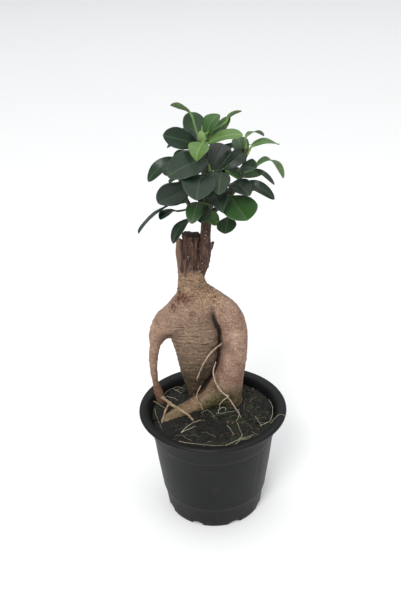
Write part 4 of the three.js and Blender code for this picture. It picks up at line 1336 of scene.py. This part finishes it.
soil = Growth("moss", "crumb", "root", "shade")
body_points, body_faces = soil_body()
patch = moss_patches(body_points)
close = bump_at(body_points, MOSS_HEART, MOSS_REACH) + 0.5 * bump_at(body_points, (35, -20, 91), 26)
mossy = np.clip(step_up(patch, -0.15, 0.35) * 0.6 + close * step_up(patch, -0.5, 0.2), 0, 1)
soil.add(body_points, body_faces, moss=mossy, shade=noisy(body_points, 9, 1, 1.1))
print("soil faces:", len(body_faces))

# %% [markdown]
# Loose things on the soil are far too many to place by hand. A loop strews them with repeatable
# draws: crumbs, every sixth one a flat bit of bark, then moss where the soil is damp. A particle
# system could strew them as well, but plain meshes are exported as they are.

# %% One crumb, and a free place for it
CRUMB_REACH = 50.5
CLEARANCE = 1.5
draw = seeded_draws(31)


def crumb(place, size, flat):
    """A small broken lump with uneven corners."""
    corners = np.array([
        (-1, -1, -1), (1, -1, -1), (1, 1, -1), (-1, 1, -1), (-1, -1, 1), (1, -1, 1), (1, 1, 1),
        (-1, 1, 1), (0, 0, 1.5), (0, 0, -1.5)], float)
    corners *= np.array([[draw(0.6, 1.2) for _ in range(3)] for _ in corners])
    turned = Matrix.Rotation(draw(0, 6.28), 3, "Z") @ Matrix.Rotation(draw(-0.5, 0.5), 3, "X")
    shaped = corners * (size, size * draw(0.5, 1), size * flat) @ np.array(turned).T
    faces = [(0, 1, 5, 4), (1, 2, 6, 5), (2, 3, 7, 6), (3, 0, 4, 7)]
    faces += [(8, a, b) for a, b in ((4, 5), (5, 6), (6, 7), (7, 4))]
    faces += [(9, b, a) for a, b in ((0, 1), (1, 2), (2, 3), (3, 0))]
    return shaped + place, faces


def spot_on_soil(reach):
    """A free place on the soil, away from the limbs that enter it."""
    while True:
        turn, out = draw(0, 2 * math.pi), reach * math.sqrt(draw(0, 1))
        place = np.array([[out * math.cos(turn), out * math.sin(turn), 0.0]])
        place[0, 2] = soil_top(place)[0]
        if trunk_distance(place)[0] > CLEARANCE:
            return place[0]


print("crumbs lie within", CRUMB_REACH, "mm of the middle, on soil", SOIL_RADIUS, "mm in radius")

# %% Crumbs and bits of bark
CRUMBS = 520
BARK_BIT_EVERY = 6

for k in range(CRUMBS):
    is_crumb = k % BARK_BIT_EVERY > 0
    size = draw(0.5, 1.5) if is_crumb else draw(1.4, 2.6)
    kind = draw(0.0, 1.0)
    points, faces = crumb(spot_on_soil(CRUMB_REACH), size, 0.6 if is_crumb else 0.35)
    soil.add(points, faces, crumb=kind, shade=draw(-1, 1))
print("soil faces with crumbs:", len(soil.faces))

# %% Moss shoots
MOSS_SPOTS = 1500
MOSS_EDGE = 51


def moss_shoot(place, length, lean):
    """A tiny leaning blade of moss, three-sided at its foot."""
    tip = place + (length * math.cos(lean) * 0.7, length * math.sin(lean) * 0.7, length)
    side = np.array((-math.sin(lean), math.cos(lean), 0)) * 0.22
    back = np.array((math.cos(lean), math.sin(lean), 0)) * 0.2
    points = np.array([place + side, place - side, place - back, tip])
    return points, [(0, 2, 1), (0, 1, 3), (1, 2, 3), (2, 0, 3)]


for _ in range(MOSS_SPOTS):
    place = spot_on_soil(MOSS_EDGE)
    damp = moss_patches(place[None])[0]
    by_root = float(bump_at(place[None], MOSS_HEART, MOSS_REACH)[0])
    if damp + by_root * 1.2 > draw(-0.1, 0.9):
        soil.add(*moss_shoot(place, draw(0.7, 2.2), draw(0, 6.28)), moss=1.0, shade=draw(-1, 1))
print("soil faces with moss:", len(soil.faces))

# %% [markdown]
# Washed-out rootlets are what the eye finds first on this soil. Those that show in the picture are
# laid one by one, and each keeps clear of the clods under it. Finer ones are strewn afterwards.

# %% Rootlets of the picture: thickness, then x, y and lift above the soil
rootlets = [
    (0.50, [(-29.1, -43, 3.4), (-20.9, -46.1, 3.6), (-11.7, -48.8, 3.8), (-2.6, -50.6, 4),
            (7.5, -49.8, 3.6)]),
    (0.36, [(-34.6, -38.4, 1.8), (-29.6, -42.9, 2.6), (-23.9, -45.5, 2.8)]),
    (0.60, [(8.5, -50.5, 3.4), (14.8, -46.2, 3.6), (21.6, -42.2, 3.2), (28.5, -39.2, 2.6),
            (33, -35, 1)]),
    (0.44, [(16.7, -49.5, 3.4), (22.1, -44.5, 4.0), (27.4, -41.5, 2.8), (31, -37, 1.0)]),
    (0.40, [(19.4, -43.7, 2.6), (23.5, -37.2, 3.0), (22.9, -33.1, 1.6)]),
    (0.36, [(19.8, -21.8, 3.2), (22.6, -31.7, 2.0), (23.8, -38.6, 1.6), (27.9, -40.1, 1.2)]),
    (0.85, [(48, -21, 2), (52, -19.7, 7.2), (56.4, -17.4, 8.8), (61, -19.5, 8.6)]),
    (0.36, [(39, -24.2, 2.2), (48, -17.6, 3), (51.2, -7, 3), (51.4, 6, 2.8), (49.6, 16.4, 1.4)]),
    (0.36, [(-46.7, 24, 1.5), (-41.2, 22.9, 2.6), (-35.8, 20.5, 2.6), (-30.4, 17.0, 1.5)]),
    (0.36, [(-43, 28, 1.2), (-38.8, 35.5, 2.0), (-34.3, 38.1, 2.2), (-29.7, 38.8, 2.0),
            (-26.0, 36.2, 1.0)]),
    (0.34, [(-35, 38, 1.0), (-32.2, 32.6, 2.0), (-27.5, 29.8, 1.4)]),
    (0.34, [(-10.2, -4.9, 2.0), (-5, -3.3, 3.8), (-1.5, -4.9, 3.0), (0.9, -9.9, 1.0)]),
    (0.40, [(-27.3, -29.2, 1.0), (-23.2, -24.5, 1.8), (-17.2, -18.7, 2.4), (-10.4, -13.3, 1.2)]),
    (0.36, [(-27.3, -29.2, 1.0), (-20.6, -26.0, 1.6), (-14.7, -22.1, 1.0)]),
    (0.40, [(2.9, -4.9, 1.6), (9.8, -5.5, 2.4), (16.9, -3.7, 2.2), (23.5, 1.0, 1.2)]),
    (0.40, [(18.7, 1.0, 2.8), (22.7, -5.1, 2.0), (20.4, -13.3, 1.6), (15.7, -18.8, 0.8)]),
    (0.34, [(36, -8.3, 1.0), (38.6, -18.5, 2.0), (40.7, -24.3, 1.0)]),
    (0.34, [(11.5, -20, 0.8), (14.4, -28.6, 1.6), (16.6, -34.2, 1.0)]),
    (0.50, [(4.6, -4.4, 1.2), (4.9, -4.9, 5.4), (8.3, -4.4, 7.6), (11.2, -3.8, 6.2),
            (10.6, -4.0, 3.8)]),
    (0.80, [(-50.6, 7.4, 0.8), (-49.0, -2.8, 1.0), (-46.5, -13.0, 1.2), (-43.7, -22.2, 0.8)]),
    (1.00, [(-51.8, 14.2, 3.6), (-49.5, 11.7, 3.4), (-45.5, 8.7, 2.8), (-40.1, 5.4, 1.6)]),
]
print("rootlets of the picture:", len(rootlets))

# %% Lay the rootlets on the soil
STRAY_BARK = 0.8


def lay(line, thick):
    """A rootlet from plan points and lifts, put on the soil and made to wander."""
    plan = np.array(line, float)
    plan[:, 2] += soil_height(plan[:, 0], plan[:, 1])
    rows = [(*row, 0.62 * thick * (1 - 0.45 * k / (len(plan) - 1))) for k, row in enumerate(plan)]
    laid = np.array(wander(rows, 0.6, thick * 10 + line[0][0]))
    laid[1:-1, 2] = np.maximum(laid[1:-1, 2], soil_top(laid[1:-1, :2]) + laid[1:-1, 3] * 0.7)
    return bar([tuple(row) for row in laid], 30, 6)


for thick, line in rootlets:
    pale = 0.55 if thick >= STRAY_BARK else 1.0
    soil.add(*lay(line, thick), root=pale, shade=draw(-0.2, 1.0))
print("soil faces with the picture's rootlets:", len(soil.faces))

# %% Finer rootlets, strewn over the whole soil
FINE_ROOTLETS = 52
ROOTLET_START = 47

for _ in range(FINE_ROOTLETS):
    start = spot_on_soil(ROOTLET_START)
    heading, length = draw(0, 6.28), draw(6, 18)
    line = []
    for step in range(4):
        far = length * step / 3
        heading += draw(-0.35, 0.35)
        x0, y0 = start[0] + far * math.cos(heading), start[1] + far * math.sin(heading)
        shrink = min(1.0, CRUMB_REACH / max(math.hypot(x0, y0), 1e-6))
        line.append((x0 * shrink, y0 * shrink, 0.4 + 1.3 * math.sin(math.pi * step / 3)))
    soil.add(*lay(line, draw(0.16, 0.34)), root=draw(0.4, 0.8), shade=draw(-1.2, 0.1))
soil_piece = soil.piece("potting_soil")
print("soil piece faces:", len(soil_piece.data.polygons))

# %% [markdown]
# The soil's colour is built from the same traits: black peat, brown bark bits, olive moss and
# straw-coloured rootlets. Wet peat shines a little in spots, so its roughness is uneven.

# %% Soil finish
peat = Finish("wet_peat", Specular_IOR_Level=0.35)
crumbs = peat.noise(1.3, 4)
clumps = peat.noise(5, 4)
black_peat = crumbs.ramp([
    (0.3, paint(9, 9, 8)), (0.55, paint(19, 18, 16)), (0.75, paint(38, 35, 30))])
fibre_bits = peat.cells(1.8).fade(0.2, 0.08) * clumps.fade(0.5, 0.65)
ground = (fibre_bits * 0.4).blend(paint(74, 64, 50), black_peat)
bits = peat.trait("crumb").ramp([
    (0.0, paint(14, 13, 11)), (0.6, paint(24, 21, 18)), (0.9, paint(44, 36, 28)),
    (1.0, paint(86, 74, 58))])
ground = peat.trait("crumb").fade(0.0, 0.05).blend(bits, ground)
moss_green = crumbs.ramp([(0.3, paint(16, 22, 14)), (0.7, paint(40, 50, 28))])
ground = (peat.trait("moss") * clumps.fade(0.25, 0.6, 0.35, 0.95)).blend(moss_green, ground)
straw = (crumbs * 0.5 + peat.trait("shade") * 0.3 + 0.3).ramp(
    [(0.2, paint(84, 74, 58)), (0.6, paint(150, 144, 120)), (1.0, paint(208, 202, 178))])
peat.colour(peat.trait("root").blend(straw, ground))
peat.roughness(0.62 + clumps * 0.35 - peat.trait("moss") * 0.05)
peat.relief(crumbs + clumps * 0.6, 0.7, 0.8)
settle_in(soil_piece, "soil", peat.material)

# %% [markdown]
# ## Floor and light
#
# The picture is a cut-out on white, lit evenly from the front and above. A pale floor runs to a
# pale world. The key light over the camera's left shoulder models the limbs, a weak fill from the
# right opens the shadows, and a ceiling light as wide as a room gives the floor its white and the
# leaves their long grey sheen.

# %% Floor
FLOOR_SIZE = 12.0
floor_data = bpy.data.meshes.new("floor")
half = FLOOR_SIZE / 2
corners = [(-half, -half, 0), (half, -half, 0), (half, half, 0), (-half, half, 0)]
floor_data.from_pydata(corners, [], [(0, 1, 2, 3)])
floor = bpy.data.objects.new("floor", floor_data)
bpy.context.scene.collection.objects.link(floor)
pale_floor = Finish("pale_floor", Roughness=0.9)
pale_floor.shader.inputs["Base Color"].default_value = (0.86, 0.86, 0.85, 1)
floor.data.materials.append(pale_floor.material)
print("floor is", FLOOR_SIZE, "m wide")

# %% Lights
WORLD_COLOUR = (0.93, 0.95, 1.0, 1)
WORLD_STRENGTH = 0.42


def soft_light(name, place, aim, size, power):
    """A square light with its place and size in metres and its power in watts."""
    data = bpy.data.lights.new(name, "AREA")
    data.size, data.energy = size, power
    light = bpy.data.objects.new(name, data)
    bpy.context.scene.collection.objects.link(light)
    light.location = place
    light.rotation_euler = (Vector(aim) - Vector(place)).to_track_quat("-Z", "Y").to_euler()


soft_light("key", (-0.5, -1.4, 1.5), (0, 0, 0.18), 0.7, 27)
soft_light("fill", (1.3, -0.9, 1.0), (0, 0, 0.15), 1.2, 4)
soft_light("ceiling", (0.0, 1.5, 4.0), (0, 1.5, 0), 8.0, 215)
world = bpy.data.worlds.new("pale_world")
world.use_nodes = True
sky = world.node_tree.nodes["Background"]
sky.inputs["Color"].default_value = WORLD_COLOUR
sky.inputs["Strength"].default_value = WORLD_STRENGTH
bpy.context.scene.world = world
bpy.context.scene.view_settings.view_transform = "Standard"
